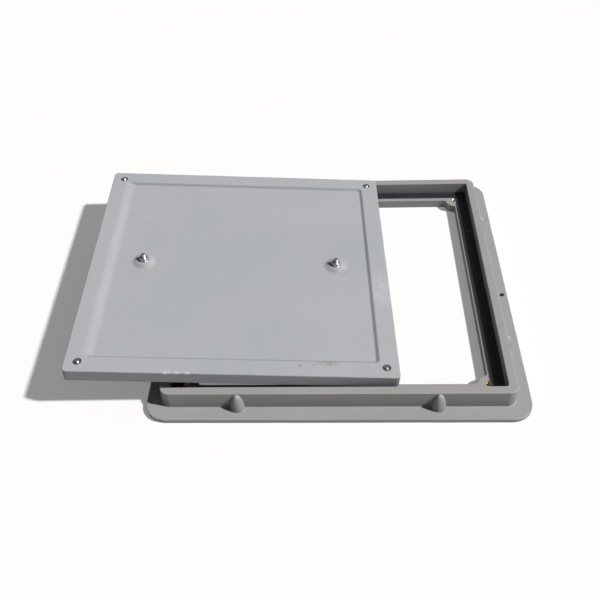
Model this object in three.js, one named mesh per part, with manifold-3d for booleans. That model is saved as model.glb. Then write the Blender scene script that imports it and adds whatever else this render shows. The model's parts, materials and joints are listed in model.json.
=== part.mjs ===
// Square composite access cover: a flanged frame with a rubber seal, and its sandwich lid, which
// lies underside up, tipped and slewed across the frame. Millimetres, +Z up, origin at the middle
// of the whole set's floor rectangle.
import * as THREE from "three";
import { mergeVertices } from "three/addons/utils/BufferGeometryUtils.js";
import Module from "manifold-3d";

const wasm = await Module();
wasm.setup();

// ---- driving dimensions ---------------------------------------------------------------------

const GAP = 0.3;                 // working clearance between pieces that touch

// lid, square in plan
const LID_SIDE = 600;
const LID_THICK = 25;
const LID_CORNER_R = 9;
const LID_EDGE_ROUND = 1.5;
const PAN_WALL = 5;              // side walls of the moulded pan
const PAN_SKIN = 5;              // skin under the recessed panel
const PANEL_BORDER = 35;         // flat sealing band around the recessed panel
const PANEL_SLOPE = 6;           // run of the panel's sloping edge
const PANEL_DEPTH = 4;

// tread deck, let into the pan from the walking side
const DECK_SET_IN = 2;           // height left for the tread pattern
const DECK_PLATE = 5;
const DECK_RIB = 5;
const DECK_CELLS = 5;            // rib cells along each side
const DECK_RIB_DROP = 0.5;       // ribs stop short of the cups' roofs

// lifting points on the lid's centre line
const LIFT_SPAN = 390;
const LIFT_CUP_R = 30;
const LIFT_CUP_WALL = 4;
const LIFT_CUP_ROOF = 4.7;       // deck left between a cup and the skin
const LIFT_BOSS_R = 26;
const LIFT_BOSS_TOP_R = 12;
const LIFT_BOSS_FOOT = 6;        // how far its foot and shoulder run out level
const LIFT_BOSS_SHOULDER = 5;
const LIFT_HEAD_R = 12;
const LIFT_HEAD_H = 4;
const LIFT_HEAD_FACE_R = 9;      // flat middle of the mushroom head
const LIFT_HEAD_CROWN = 2;       // height of its sloping edge
const LIFT_NECK_H = 2;
const LIFT_NECK_R = 7;
const LIFT_THREAD_R = 5;
const LIFT_STUD_OUT = 15;        // thread end above the lid's underside
const WASHER_R = 10;
const WASHER_H = 2;
const NUT_ACROSS_FLATS = 16;
const NUT_H = 5;                 // a thin nut
const THREAD_CHAMFER = 1;
const EDGE_CHAMFER = 0.5;        // on heads, bushes and rubber rings

// lock screws at the lid's corners
const LOCK_INSET = 24;           // from the lid's edges to the screw's axis
const LOCK_HEAD_R = 6.5;
const LOCK_HEAD_H = 5;
const LOCK_HEAD_SINK = 1;        // head below the walking face
const LOCK_SHANK_R = 4;
const LOCK_SOCKET_FLATS = 6;
const LOCK_SOCKET_DEPTH = 3;
const LOCK_SEAT = 1.6;           // deck left under a screw's head when it is driven home
const LOCK_TIP_OUT = 2;          // tip past the lid's underside when drawn back
const LOCK_POST_WALL = 5;
const LOCK_POST_ROOT = 1;        // how far a post is rooted in the skin
const KEEPER_R = 7.5;            // rubber ring that keeps a slackened screw in the lid
const KEEPER_H = 2.5;

// frame, built outwards from the lid
const LID_CLEARANCE = 4;         // all round, between lid and frame
const RIM_WIDTH = 17;
const FLANGE_WIDTH = 29;
const FLANGE_THICK = 9;
const FLANGE_CORNER_R = 40;
const WALL_CORNER_R = 18;
const RECESS_CORNER_R = 5;
const EDGE_ROUND = 1.5;
const LEDGE_WIDTH = 28;
const LEDGE_TOP = 18.5;
const SEAL_WIDTH = 19;
const SEAL_THICK = 2.5;
const SEAL_CORNER_R = 4;

// brass inserts in the ledge's corners
const INSERT_R = 6;
const INSERT_H = 16;
const INSERT_BOSS_R = 20;
const INSERT_BOSS_FILLET = 6;

// anchor ribs on the wall, and the mouldings' small marks
const RIB_SPACING = 362;
const RIB_BASE_R = 13.5;
const RIB_SHOULDER_R = 8;
const RIB_BELOW_RIM = 2;
const RIB_DRAFT = 1;             // inward lean at half height
const FIXING_HOLE_R = 5;
const FIXING_HOLE_IN = 11.5;      // from the flange's edge
const FIXING_HOLE_ALONG = -32;
const POCKET_DEPTH = 9.5;        // relief pockets under the ledge and wall
const POCKET_WIDTH = 26;
const POCKET_WEB = 6;
const POCKETS_PER_SIDE = 8;
const POCKET_SKIRT = 8;          // solid skirt kept at the clear opening

// how the lid lies on the frame
const LID_SLID = 197;            // how far it is pushed to the left
const LID_DIP = 10.8;            // how far its right edge dips below the rim
const LID_TIP = THREE.MathUtils.degToRad(4.4);
const LID_SLEW = THREE.MathUtils.degToRad(1.85);

// ---- sizes that follow from them ------------------------------------------------------------

const half = (side) => side / 2;
const LIFT_X = [-half(LIFT_SPAN), half(LIFT_SPAN)];
const RECESS_SIDE = LID_SIDE + 2 * LID_CLEARANCE;
const WALL_SIDE = RECESS_SIDE + 2 * RIM_WIDTH;
const FRAME_SIDE = WALL_SIDE + 2 * FLANGE_WIDTH;
const OPENING_SIDE = RECESS_SIDE - 2 * LEDGE_WIDTH;
const FRAME_HEIGHT = LEDGE_TOP + SEAL_THICK + LID_THICK;
const LOCK_AT = half(LID_SIDE) - LOCK_INSET;
const PANEL_FLOOR = LID_THICK - PANEL_DEPTH;
const SKIN_BOTTOM = PANEL_FLOOR - PAN_SKIN;
const DECK_TOP = SKIN_BOTTOM - GAP;
const LIFT_CUP_DEPTH = DECK_TOP - LIFT_CUP_ROOF;
const LOCK_POST_DROP = 1;        // how far the skin's posts reach down to the deck's
const LOCK_POST_TOP = DECK_TOP - LOCK_POST_DROP;
const LOCK_ROOM = LOCK_POST_TOP - LOCK_SEAT;
const CAVITY_CORNER_R = LID_CORNER_R - PAN_WALL + 1;
const THROUGH = 2;               // overshoot of every cutting tool

const CORNERS = [[-1, -1], [1, -1], [1, 1], [-1, 1]];
const SIDES = [0, 1, 2, 3];      // quarter turns from the near side
const CURVE_STEPS = 5;
const ROUND_STEPS = 20;
const RIB_STEPS = 12;

// ---- finishes -------------------------------------------------------------------------------

const finish = (color, roughness, metalness) =>
  new THREE.MeshStandardMaterial({ color, roughness, metalness });
const LID_GREY = finish(0xafb1b6, 0.45, 0);
const FRAME_GREY = finish(0xa3a3a0, 0.6, 0);
const DECK_GREY = finish(0x8f9296, 0.7, 0);
const SEAL_BLACK = finish(0x17181c, 0.55, 0);
const BRASS = finish(0xb08d4a, 0.35, 1);
const STEEL = finish(0xb9bbbd, 0.3, 1);

// ---- solids ---------------------------------------------------------------------------------

function toSolid(geometry) {
  const bare = geometry.clone();
  bare.deleteAttribute("normal");
  bare.deleteAttribute("uv");
  const merged = mergeVertices(bare, 1e-4);
  return new wasm.Manifold(new wasm.Mesh({
    numProp: 3,
    vertProperties: new Float32Array(merged.attributes.position.array),
    triVerts: new Uint32Array(merged.index.array),
  }));
}

function toGeometry(solid) {
  const mesh = solid.getMesh();
  const geometry = new THREE.BufferGeometry();
  geometry.setAttribute("position", new THREE.BufferAttribute(mesh.vertProperties, 3));
  geometry.setIndex(new THREE.BufferAttribute(mesh.triVerts, 1));
  geometry.computeVertexNormals();
  return geometry;
}

const joined = (solids) => solids.reduce((whole, solid) => whole.add(solid));
const cutBy = (body, tools) => tools.reduce((whole, tool) => whole.subtract(tool), body);

function piece(name, shape, material) {
  const mesh = new THREE.Mesh(shape.isBufferGeometry ? shape : toGeometry(shape), material);
  mesh.name = name;
  return mesh;
}

// a square outline with rounded corners, centred on the axis
function roundedSquare(side, radius, Outline = THREE.Shape) {
  const h = half(side);
  const outline = new Outline();
  outline.moveTo(-h + radius, -h);
  outline.lineTo(h - radius, -h);
  outline.absarc(h - radius, -h + radius, radius, -Math.PI / 2, 0);
  outline.lineTo(h, h - radius);
  outline.absarc(h - radius, h - radius, radius, 0, Math.PI / 2);
  outline.lineTo(-h + radius, h);
  outline.absarc(-h + radius, h - radius, radius, Math.PI / 2, Math.PI);
  outline.lineTo(-h, -h + radius);
  outline.absarc(-h + radius, -h + radius, radius, Math.PI, 1.5 * Math.PI);
  return outline;
}

// the clear opening, with a round boss for an insert standing into each corner
function openingOutline(side) {
  const h = half(side);
  const outline = new THREE.Shape();
  const fillet = INSERT_BOSS_FILLET;
  const reach = Math.sqrt((INSERT_BOSS_R + fillet) ** 2 - fillet ** 2);
  const swing = Math.asin(fillet / (INSERT_BOSS_R + fillet));
  for (const turn of SIDES) {
    const around = (turn * Math.PI) / 2;
    const place = (x, y) => new THREE.Vector2(x, y).rotateAround(new THREE.Vector2(), around);
    const before = place(h - reach, -h + fillet);
    const boss = place(h, -h);
    const after = place(h - fillet, -h + reach);
    const start = place(h - reach, -h);
    if (turn === 0) outline.moveTo(start.x, start.y);
    else outline.lineTo(start.x, start.y);
    outline.absarc(before.x, before.y, fillet, around - Math.PI / 2, around - swing);
    outline.absarc(boss.x, boss.y, INSERT_BOSS_R, around + Math.PI - swing,
      around + Math.PI / 2 + swing, true);
    outline.absarc(after.x, after.y, fillet, around - Math.PI / 2 + swing, around);
  }
  return outline;
}

// a prism of an outline between two heights, with rounded or sharp edges
function prism(outline, low, high, round = 0) {
  const geometry = new THREE.ExtrudeGeometry(outline, {
    depth: high - low - 2 * round,
    curveSegments: CURVE_STEPS,
    bevelEnabled: round > 0,
    bevelThickness: round,
    bevelSize: round,
    bevelOffset: -round,
    bevelSegments: 2,
  });
  return toSolid(geometry.translate(0, 0, low + round));
}

// a solid of revolution about Z from [radius, height] pairs that start and end on the axis
function turned(profile, steps = ROUND_STEPS) {
  const points = profile.map(([r, z]) => new THREE.Vector2(r, z));
  return new THREE.LatheGeometry(points, steps).rotateX(Math.PI / 2);
}

const rod = (radius, low, high, steps = ROUND_STEPS) =>
  toSolid(turned([[0, low], [radius, low], [radius, high], [0, high]], steps));
const at = (solid, x, y, z = 0) => solid.translate([x, y, z]);
const block = (w, d, h, x, y, z) => toSolid(new THREE.BoxGeometry(w, d, h).translate(x, y, z));

// a hexagonal prism, by its size across flats
const hexBar = (flats, low, high) => rod(half(flats) / Math.cos(Math.PI / 6), low, high, 6);

// ---- frame ----------------------------------------------------------------------------------

// one bullet-shaped rib, whose back is buried in the wall
function anchorRib() {
  const top = FRAME_HEIGHT - RIB_BELOW_RIM;
  const flank = new THREE.CubicBezierCurve(
    new THREE.Vector2(RIB_BASE_R, FLANGE_THICK),
    new THREE.Vector2(RIB_BASE_R - RIB_DRAFT, half(FLANGE_THICK + top)),
    new THREE.Vector2(RIB_SHOULDER_R, top),
    new THREE.Vector2(0, top),
  );
  const profile = flank.getPoints(CURVE_STEPS).map((point) => [point.x, point.y]);
  const foot = FLANGE_THICK - THROUGH;
  return toSolid(turned([[0, foot], [RIB_BASE_R, foot], ...profile], RIB_STEPS));
}

// the pockets that lighten one side, in a row under the ledge and wall
function reliefPockets() {
  const row = OPENING_SIDE - 2 * INSERT_BOSS_R;
  const pitch = row / POCKETS_PER_SIDE;
  const inward = half(OPENING_SIDE) + POCKET_SKIRT + half(POCKET_WIDTH);
  return Array.from({ length: POCKETS_PER_SIDE }, (_, i) => block(
    pitch - POCKET_WEB, POCKET_WIDTH, POCKET_DEPTH + THROUGH,
    -half(row) + pitch * (i + 0.5), -inward, half(POCKET_DEPTH - THROUGH)));
}

function frameSolid() {
  const opening = openingOutline(OPENING_SIDE);
  const recess = prism(roundedSquare(RECESS_SIDE, RECESS_CORNER_R), LEDGE_TOP,
    FRAME_HEIGHT + THROUGH);
  const throat = prism(opening, -THROUGH, LEDGE_TOP + THROUGH);
  const ledge = prism(roundedSquare(WALL_SIDE, WALL_CORNER_R), 0, LEDGE_TOP + THROUGH);
  const flange = prism(roundedSquare(FRAME_SIDE, FLANGE_CORNER_R), 0, FLANGE_THICK, EDGE_ROUND);
  const wall = prism(roundedSquare(WALL_SIDE, WALL_CORNER_R), FLANGE_THICK - 2 * EDGE_ROUND,
    FRAME_HEIGHT, EDGE_ROUND);
  const ribs = SIDES.flatMap((turn) => [-1, 1].map((side) =>
    at(anchorRib(), side * half(RIB_SPACING), -half(WALL_SIDE)).rotate([0, 0, 90 * turn])));
  const pockets = SIDES.flatMap((turn) =>
    reliefPockets().map((pocket) => pocket.rotate([0, 0, 90 * turn])));
  const insertHoles = CORNERS.map(([x, y]) =>
    at(rod(INSERT_R + GAP, -THROUGH, LEDGE_TOP + THROUGH), x * LOCK_AT, y * LOCK_AT));
  const fixing = at(rod(FIXING_HOLE_R, -THROUGH, FLANGE_THICK + THROUGH),
    half(FRAME_SIDE) - FIXING_HOLE_IN, FIXING_HOLE_ALONG);
  return cutBy(joined([flange, ledge, wall, ...ribs]),
    [recess, throat, fixing, ...insertHoles, ...pockets]);
}

function sealSolid() {
  const outer = RECESS_SIDE - 2 * GAP;
  const low = LEDGE_TOP + GAP;
  const strip = roundedSquare(outer, RECESS_CORNER_R - GAP);
  strip.holes.push(roundedSquare(outer - 2 * SEAL_WIDTH, SEAL_CORNER_R, THREE.Path));
  return prism(strip, low, low + SEAL_THICK);
}

// a threaded bush with a chamfered mouth
function insertGeometry() {
  const bore = LOCK_SHANK_R + GAP;
  const low = LEDGE_TOP - INSERT_H;
  return turned([
    [bore, low], [INSERT_R, low], [INSERT_R, LEDGE_TOP], [bore + EDGE_CHAMFER, LEDGE_TOP],
    [bore, LEDGE_TOP - EDGE_CHAMFER], [bore, low],
  ]);
}

// ---- lid, in its own frame: walking face at z = 0, underside up -----------------------------

// low round boss that backs a lifting point, rising from the recessed panel
function liftBoss() {
  const swell = new THREE.CubicBezierCurve(
    new THREE.Vector2(LIFT_BOSS_R, PANEL_FLOOR),
    new THREE.Vector2(LIFT_BOSS_R - LIFT_BOSS_FOOT, PANEL_FLOOR),
    new THREE.Vector2(LIFT_BOSS_TOP_R + LIFT_BOSS_SHOULDER, LID_THICK),
    new THREE.Vector2(LIFT_BOSS_TOP_R, LID_THICK),
  );
  const profile = swell.getPoints(CURVE_STEPS).map((point) => [point.x, point.y]);
  const foot = PANEL_FLOOR - THROUGH;
  return toSolid(turned([[0, foot], [LIFT_BOSS_R, foot], ...profile, [0, LID_THICK]]));
}

function panSolid() {
  const body = prism(roundedSquare(LID_SIDE, LID_CORNER_R), 0, LID_THICK, LID_EDGE_ROUND);
  const inside = LID_SIDE - 2 * PAN_WALL;
  const cavity = prism(roundedSquare(inside, CAVITY_CORNER_R), -THROUGH, SKIN_BOTTOM);
  const panel = new THREE.ExtrudeGeometry(
    roundedSquare(LID_SIDE - 2 * (PANEL_BORDER + PANEL_SLOPE), PANEL_SLOPE), {
      depth: THROUGH,
      curveSegments: CURVE_STEPS,
      bevelThickness: PANEL_DEPTH,
      bevelSize: PANEL_SLOPE,
      bevelSegments: 1,
    }).translate(0, 0, LID_THICK);
  const bosses = LIFT_X.map((x) => at(liftBoss(), x, 0));
  const liftHoles = LIFT_X.map((x) =>
    at(rod(LIFT_THREAD_R + GAP, 0, LID_THICK + THROUGH), x, 0));
  const posts = CORNERS.map(([x, y]) => at(
    rod(LOCK_SHANK_R + GAP + LOCK_POST_WALL, SKIN_BOTTOM - LOCK_POST_DROP,
      SKIN_BOTTOM + LOCK_POST_ROOT),
    x * LOCK_AT, y * LOCK_AT));
  const lockHoles = CORNERS.flatMap(([x, y]) => [
    at(rod(LOCK_SHANK_R + GAP, 0, LID_THICK + THROUGH), x * LOCK_AT, y * LOCK_AT),
    at(rod(KEEPER_R + GAP, LID_THICK - KEEPER_H - 2 * GAP, LID_THICK + THROUGH),
      x * LOCK_AT, y * LOCK_AT),
  ]);
  const shell = cutBy(body, [cavity, toSolid(panel)]);
  return cutBy(joined([shell, ...bosses, ...posts]), [...liftHoles, ...lockHoles]);
}

// square pockets that leave a grid of ribs standing on the deck
function deckPockets(side, low, high) {
  const pitch = (side - DECK_RIB) / DECK_CELLS;
  const width = pitch - DECK_RIB;
  const centres = Array.from({ length: DECK_CELLS }, (_, i) => pitch * (i - half(DECK_CELLS - 1)));
  return centres.flatMap((x) => centres.map((y) =>
    block(width, width, high - low, x, y, half(low + high))));
}

function deckSolid() {
  const side = LID_SIDE - 2 * (PAN_WALL + GAP);
  const plateTop = DECK_SET_IN + DECK_PLATE;
  const slab = prism(roundedSquare(side, CAVITY_CORNER_R), DECK_SET_IN, DECK_TOP - DECK_RIB_DROP);
  const grid = cutBy(slab, deckPockets(side, plateTop, DECK_TOP + THROUGH));
  const cupR = LIFT_CUP_R + LIFT_CUP_WALL;
  const cups = LIFT_X.map((x) => at(rod(cupR, 0, DECK_TOP), x, 0));
  const cupHollows = LIFT_X.flatMap((x) => [
    at(rod(LIFT_CUP_R, -THROUGH, LIFT_CUP_DEPTH), x, 0),
    at(rod(LIFT_THREAD_R + GAP, 0, LID_THICK), x, 0),
  ]);
  const postR = LOCK_HEAD_R + GAP + LOCK_POST_WALL;
  const posts = CORNERS.map(([x, y]) =>
    at(rod(postR, 0, LOCK_POST_TOP), x * LOCK_AT, y * LOCK_AT));
  const lockHollows = CORNERS.flatMap(([x, y]) => [
    at(rod(LOCK_HEAD_R + GAP, -THROUGH, LOCK_ROOM), x * LOCK_AT, y * LOCK_AT),
    at(rod(LOCK_SHANK_R + GAP, 0, LID_THICK), x * LOCK_AT, y * LOCK_AT),
  ]);
  return cutBy(joined([grid, ...cups, ...posts]), [...cupHollows, ...lockHollows]);
}

// mushroom-headed lifting bolt, its neck seated on the cup's roof
function liftBoltGeometry() {
  const neckTop = LIFT_CUP_DEPTH - GAP;
  const headLow = neckTop - LIFT_NECK_H - LIFT_HEAD_H;
  const tip = LID_THICK + LIFT_STUD_OUT;
  return turned([
    [0, headLow], [LIFT_HEAD_FACE_R, headLow], [LIFT_HEAD_R, headLow + LIFT_HEAD_CROWN],
    [LIFT_HEAD_R, headLow + LIFT_HEAD_H], [LIFT_NECK_R, headLow + LIFT_HEAD_H],
    [LIFT_NECK_R, neckTop], [LIFT_THREAD_R, neckTop], [LIFT_THREAD_R, tip - THREAD_CHAMFER],
    [LIFT_THREAD_R - THREAD_CHAMFER, tip], [0, tip],
  ]);
}

function washerGeometry() {
  const bore = LIFT_THREAD_R + GAP;
  const low = LID_THICK + GAP;
  return turned([[bore, low], [WASHER_R, low], [WASHER_R, low + WASHER_H],
    [bore, low + WASHER_H], [bore, low]]);
}

function nutSolid() {
  const low = LID_THICK + WASHER_H + 2 * GAP;
  const corner = half(NUT_ACROSS_FLATS) / Math.cos(Math.PI / 6);
  const crown = toSolid(turned([[0, low], [half(NUT_ACROSS_FLATS), low],
    [corner, low + THREAD_CHAMFER], [corner, low + NUT_H - THREAD_CHAMFER],
    [half(NUT_ACROSS_FLATS), low + NUT_H], [0, low + NUT_H]]));
  const bore = rod(LIFT_THREAD_R + GAP, low - THROUGH, low + NUT_H + THROUGH);
  return hexBar(NUT_ACROSS_FLATS, low, low + NUT_H).intersect(crown).subtract(bore);
}

function lockScrewSolid() {
  const headTop = LOCK_HEAD_SINK + LOCK_HEAD_H;
  const tip = LID_THICK + LOCK_TIP_OUT;
  const body = toSolid(turned([
    [0, LOCK_HEAD_SINK], [LOCK_HEAD_R - EDGE_CHAMFER, LOCK_HEAD_SINK],
    [LOCK_HEAD_R, LOCK_HEAD_SINK + EDGE_CHAMFER], [LOCK_HEAD_R, headTop],
    [LOCK_SHANK_R, headTop], [LOCK_SHANK_R, tip - THREAD_CHAMFER],
    [LOCK_SHANK_R - THREAD_CHAMFER, tip], [0, tip],
  ]));
  const socket = hexBar(LOCK_SOCKET_FLATS, 0, LOCK_HEAD_SINK + LOCK_SOCKET_DEPTH);
  return body.subtract(socket);
}

// rubber keeper ring around a lock screw's shank, let into the underside
function keeperGeometry() {
  const bore = LOCK_SHANK_R + GAP;
  const high = LID_THICK - GAP;
  const low = high - KEEPER_H;
  return turned([
    [bore, low], [KEEPER_R, low], [KEEPER_R, high - EDGE_CHAMFER],
    [KEEPER_R - EDGE_CHAMFER, high], [bore, high], [bore, low],
  ]);
}

// ---- assembly -------------------------------------------------------------------------------

function placed(mesh, x, y) {
  mesh.position.set(x, y, 0);
  return mesh;
}

const frameGroup = new THREE.Group();
frameGroup.add(piece("frame", frameSolid(), FRAME_GREY));
frameGroup.add(piece("seal", sealSolid(), SEAL_BLACK));
CORNERS.forEach(([x, y], i) => frameGroup.add(
  placed(piece(`insert_${i + 1}`, insertGeometry(), BRASS), x * LOCK_AT, y * LOCK_AT)));

const lidGroup = new THREE.Group();
lidGroup.add(piece("lid_pan", panSolid(), LID_GREY));
lidGroup.add(piece("lid_deck", deckSolid(), DECK_GREY));
CORNERS.forEach(([x, y], i) => {
  const spot = [x * LOCK_AT, y * LOCK_AT];
  lidGroup.add(placed(piece(`lock_screw_${i + 1}`, lockScrewSolid(), STEEL), ...spot));
  lidGroup.add(placed(piece(`keeper_ring_${i + 1}`, keeperGeometry(), SEAL_BLACK), ...spot));
});
LIFT_X.forEach((x, i) => {
  lidGroup.add(placed(piece(`lift_bolt_${i + 1}`, liftBoltGeometry(), STEEL), x, 0));
  lidGroup.add(placed(piece(`lift_washer_${i + 1}`, washerGeometry(), STEEL), x, 0));
  lidGroup.add(placed(piece(`lift_nut_${i + 1}`, nutSolid(), STEEL), x, 0));
});

// The lid is tipped down to the right, slewed, and set by the lower edge of its right end, which
// dips into the recess. It stands midway between the near wall, where its underside passes the
// rim, and the far wall, where its right corner is.
const crossing = half(LID_SIDE) - LID_DIP / Math.sin(LID_TIP);
lidGroup.rotation.set(0, LID_TIP, LID_SLEW, "ZYX");
const rightEdge = new THREE.Vector3(half(LID_SIDE), 0, 0).applyEuler(lidGroup.rotation);
lidGroup.position.set(
  -LID_SLID,
  (-Math.sin(LID_SLEW) * (half(LID_SIDE) + crossing)) / 2,
  FRAME_HEIGHT - LID_DIP - rightEdge.z,
);

const group = new THREE.Group();
group.add(frameGroup, lidGroup);
const bounds = new THREE.Box3().setFromObject(group, true);
const middle = bounds.getCenter(new THREE.Vector3());
group.position.set(-middle.x, -middle.y, -bounds.min.z);

export default group;
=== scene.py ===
# %% [markdown]
# # A square access cover, lying open
#
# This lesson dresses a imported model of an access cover: the square frame that is cast into paving
# round a manhole, and its lid, which lies across the frame with its underside up. The packed
# model has the right places and sizes, but plain surfaces. We make finer pieces in the same
# places, give each one a finish, and light the set softly.
#
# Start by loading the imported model. Its nodes are real Blender objects, in metres, and each one
# already moves with its own body.

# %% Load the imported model
import json
import math
import bpy
from mathutils import Matrix, Vector, noise


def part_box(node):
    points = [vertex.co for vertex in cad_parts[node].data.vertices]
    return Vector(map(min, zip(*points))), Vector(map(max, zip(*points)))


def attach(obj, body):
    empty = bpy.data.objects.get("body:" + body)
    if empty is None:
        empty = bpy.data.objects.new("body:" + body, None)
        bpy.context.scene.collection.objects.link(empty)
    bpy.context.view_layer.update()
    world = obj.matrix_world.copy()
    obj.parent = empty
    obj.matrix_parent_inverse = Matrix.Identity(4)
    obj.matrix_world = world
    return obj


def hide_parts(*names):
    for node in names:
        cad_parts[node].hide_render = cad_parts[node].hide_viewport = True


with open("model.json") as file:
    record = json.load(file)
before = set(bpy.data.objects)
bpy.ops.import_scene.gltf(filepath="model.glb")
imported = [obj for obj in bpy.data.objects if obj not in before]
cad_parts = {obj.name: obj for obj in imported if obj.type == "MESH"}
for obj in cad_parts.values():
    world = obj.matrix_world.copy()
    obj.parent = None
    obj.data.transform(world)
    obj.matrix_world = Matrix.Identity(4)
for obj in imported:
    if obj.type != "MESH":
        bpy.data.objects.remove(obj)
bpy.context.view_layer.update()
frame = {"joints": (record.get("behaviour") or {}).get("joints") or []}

# %% [markdown]
# ## Where the frame and the lid lie
#
# Castings are drawn in millimetres about their own middle, with their own up. So we want two
# matrices, one for the frame and one for the lid, that carry millimetres at the middle into metres
# in place. The frame's comes from its box. The lid is tipped and turned, so its matrix comes from
# the record: the two nuts turn about the lid's own normal, at two points on its centre line. That
# is safer than measuring its corners, because those points say exactly where the lid's axes are.

# %% Place the frame and the lid
MM = 0.001
TO_METRES = Matrix.Diagonal((MM, MM, MM, 1))
joints = {joint["name"]: joint for joint in frame["joints"]}

low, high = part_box("frame")
frame_place = Matrix.Translation(((low.x + high.x) / 2, (low.y + high.y) / 2, 0)) @ TO_METRES

nut_joints = [joints["lift_nut_1_turn"], joints["lift_nut_2_turn"]]
lift_points = [Vector(joint["pos_m"]) for joint in nut_joints]
lid_up = Vector(nut_joints[0]["axis"]).normalized()
lid_right = (lift_points[1] - lift_points[0]).normalized()
lid_back = lid_up.cross(lid_right)
lid_middle = (lift_points[0] + lift_points[1]) / 2
lid_place = Matrix.Translation(lid_middle) @ Matrix(
    (lid_right, lid_back, lid_up)).transposed().to_4x4() @ TO_METRES
LIFT_SPAN = (lift_points[1] - lift_points[0]).length / MM
print("lid middle, metres:", [round(value, 4) for value in lid_middle])
print("between the lifting points, mm:", round(LIFT_SPAN, 2))

# %% [markdown]
# ## The camera
#
# The set is seen from the front, from a standing person's height, with a slightly long lens that
# keeps the square's sides nearly parallel. A camera can be aimed by hand, with a Track To
# constraint, or by its matrix. The matrix is exact and needs no target: its columns are the
# picture's right, its up, and the way back towards the viewer.

# %% Make the camera
CAMERA_PLACE = Vector((0.07268, -1.20898, 1.13902))
CAMERA_DOWN = math.radians(44.048)
CAMERA_TURN = math.radians(-3.429)
CAMERA_ROLL = math.radians(2.874)
LENS = 47.27                  # millimetres
CLIP_START = 0.05             # metres

ahead = Vector((math.sin(CAMERA_TURN) * math.cos(CAMERA_DOWN),
                math.cos(CAMERA_TURN) * math.cos(CAMERA_DOWN), -math.sin(CAMERA_DOWN)))
level = Vector((math.cos(CAMERA_TURN), -math.sin(CAMERA_TURN), 0))
down = ahead.cross(level)
picture_right = level * math.cos(CAMERA_ROLL) + down * math.sin(CAMERA_ROLL)
picture_down = down * math.cos(CAMERA_ROLL) - level * math.sin(CAMERA_ROLL)

camera_data = bpy.data.cameras.new("camera")
camera_data.lens = LENS
camera_data.clip_start = CLIP_START
camera = bpy.data.objects.new("camera", camera_data)
camera.matrix_world = Matrix.Translation(CAMERA_PLACE) @ Matrix(
    (picture_right, -picture_down, -ahead)).transposed().to_4x4()
scene = bpy.context.scene
scene.collection.objects.link(camera)
scene.camera = camera
print("camera looks", round(math.degrees(CAMERA_DOWN), 1), "degrees down")

# %% [markdown]
# ## The floor
#
# A pale floor shows the set's outline and its shadow. It reaches far enough to meet the horizon in
# a low view, and it glows a little, so that what the light reaches comes out nearly white. An
# image backdrop could do that too, but a real plane also catches the shadow.

# %% Make the floor
FLOOR_HALF = 60.0             # metres
FLOOR_DROP = 0.0006           # keeps the floor clear of the flange's underside
FLOOR_TONE, FLOOR_GLOW = 0.53, 0.20
FLOOR_ROUGHNESS, FLOOR_SHEEN = 0.9, 0.1


def paint_floor():
    """A flat pale paint with a weak glow."""
    paint = bpy.data.materials.new("floor_paint")
    paint.use_nodes = True
    sockets = paint.node_tree.nodes["Principled BSDF"].inputs
    sockets["Base Color"].default_value = (FLOOR_TONE, FLOOR_TONE, FLOOR_TONE, 1)
    sockets["Roughness"].default_value = FLOOR_ROUGHNESS
    sockets["Specular IOR Level"].default_value = FLOOR_SHEEN
    sockets["Emission Color"].default_value = (1, 1, 1, 1)
    sockets["Emission Strength"].default_value = FLOOR_GLOW
    return paint


floor_mesh = bpy.data.meshes.new("floor")
floor_mesh.from_pydata(
    [(-FLOOR_HALF, -FLOOR_HALF, 0), (FLOOR_HALF, -FLOOR_HALF, 0),
     (FLOOR_HALF, FLOOR_HALF, 0), (-FLOOR_HALF, FLOOR_HALF, 0)], [], [(0, 1, 2, 3)])
floor = bpy.data.objects.new("floor", floor_mesh)
floor.location.z = -FLOOR_DROP
scene.collection.objects.link(floor)
floor_mesh.materials.append(paint_floor())
print("floor, metres:", 2 * FLOOR_HALF)

# %% [markdown]
# ## The light
#
# The key is a sun lamp on the right and a little towards the viewer: tops are bright, the near
# walls are in half shade, and shadows fall to the left and away. An area light could do it too,
# but it fades with distance and leaves the far floor grey. The walls that face left should stay
# nearly black, so a weak sky is the only fill. A plain view transform keeps greys as they are
# measured.

# %% Make the sky and the sun
SKY_TINT, SKY_STRENGTH = (0.93, 0.96, 1.0, 1), 0.17
SUN_BEARING, SUN_HEIGHT = math.radians(-13), math.radians(45)
SUN_STRENGTH, SUN_SPREAD = 5.94, math.radians(3.2)
SUN_TINT = (1.0, 0.985, 0.965)
SUN_DISTANCE = 3              # metres, which changes nothing but where its icon stands

scene.view_settings.view_transform = "Standard"
world = bpy.data.worlds.new("sky")
scene.world = world
world.use_nodes = True
sky = world.node_tree.nodes["Background"]
sky.inputs["Color"].default_value = SKY_TINT
sky.inputs["Strength"].default_value = SKY_STRENGTH

towards_sun = Vector((math.cos(SUN_BEARING) * math.cos(SUN_HEIGHT),
                      math.sin(SUN_BEARING) * math.cos(SUN_HEIGHT), math.sin(SUN_HEIGHT)))
sun_data = bpy.data.lights.new("key_light", "SUN")
sun_data.energy = SUN_STRENGTH
sun_data.angle = SUN_SPREAD
sun_data.color = SUN_TINT
sun = bpy.data.objects.new("key_light", sun_data)
sun.rotation_mode = "QUATERNION"
sun.rotation_quaternion = towards_sun.to_track_quat("Z", "Y")
sun.location = towards_sun * SUN_DISTANCE
scene.collection.objects.link(sun)

# %% [markdown]
# ## Rings and lofts
#
# The frame, the seal and the lid's pan are all one section carried round a square. Blender can
# sweep a curve, but a bevelled curve doesn't keep each corner's own radius: the flange turns on
# 40 mm and the recess on 5. So we build rings of points, each with its own side, corner radius
# and height, and join each ring to the next with faces. As long as every ring has the same
# number of points, the faces fit.

# %% Rings round a square, and the loft that joins them
ALONG = 24          # spans on each straight side
ROUND = 16          # spans on each corner


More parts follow.
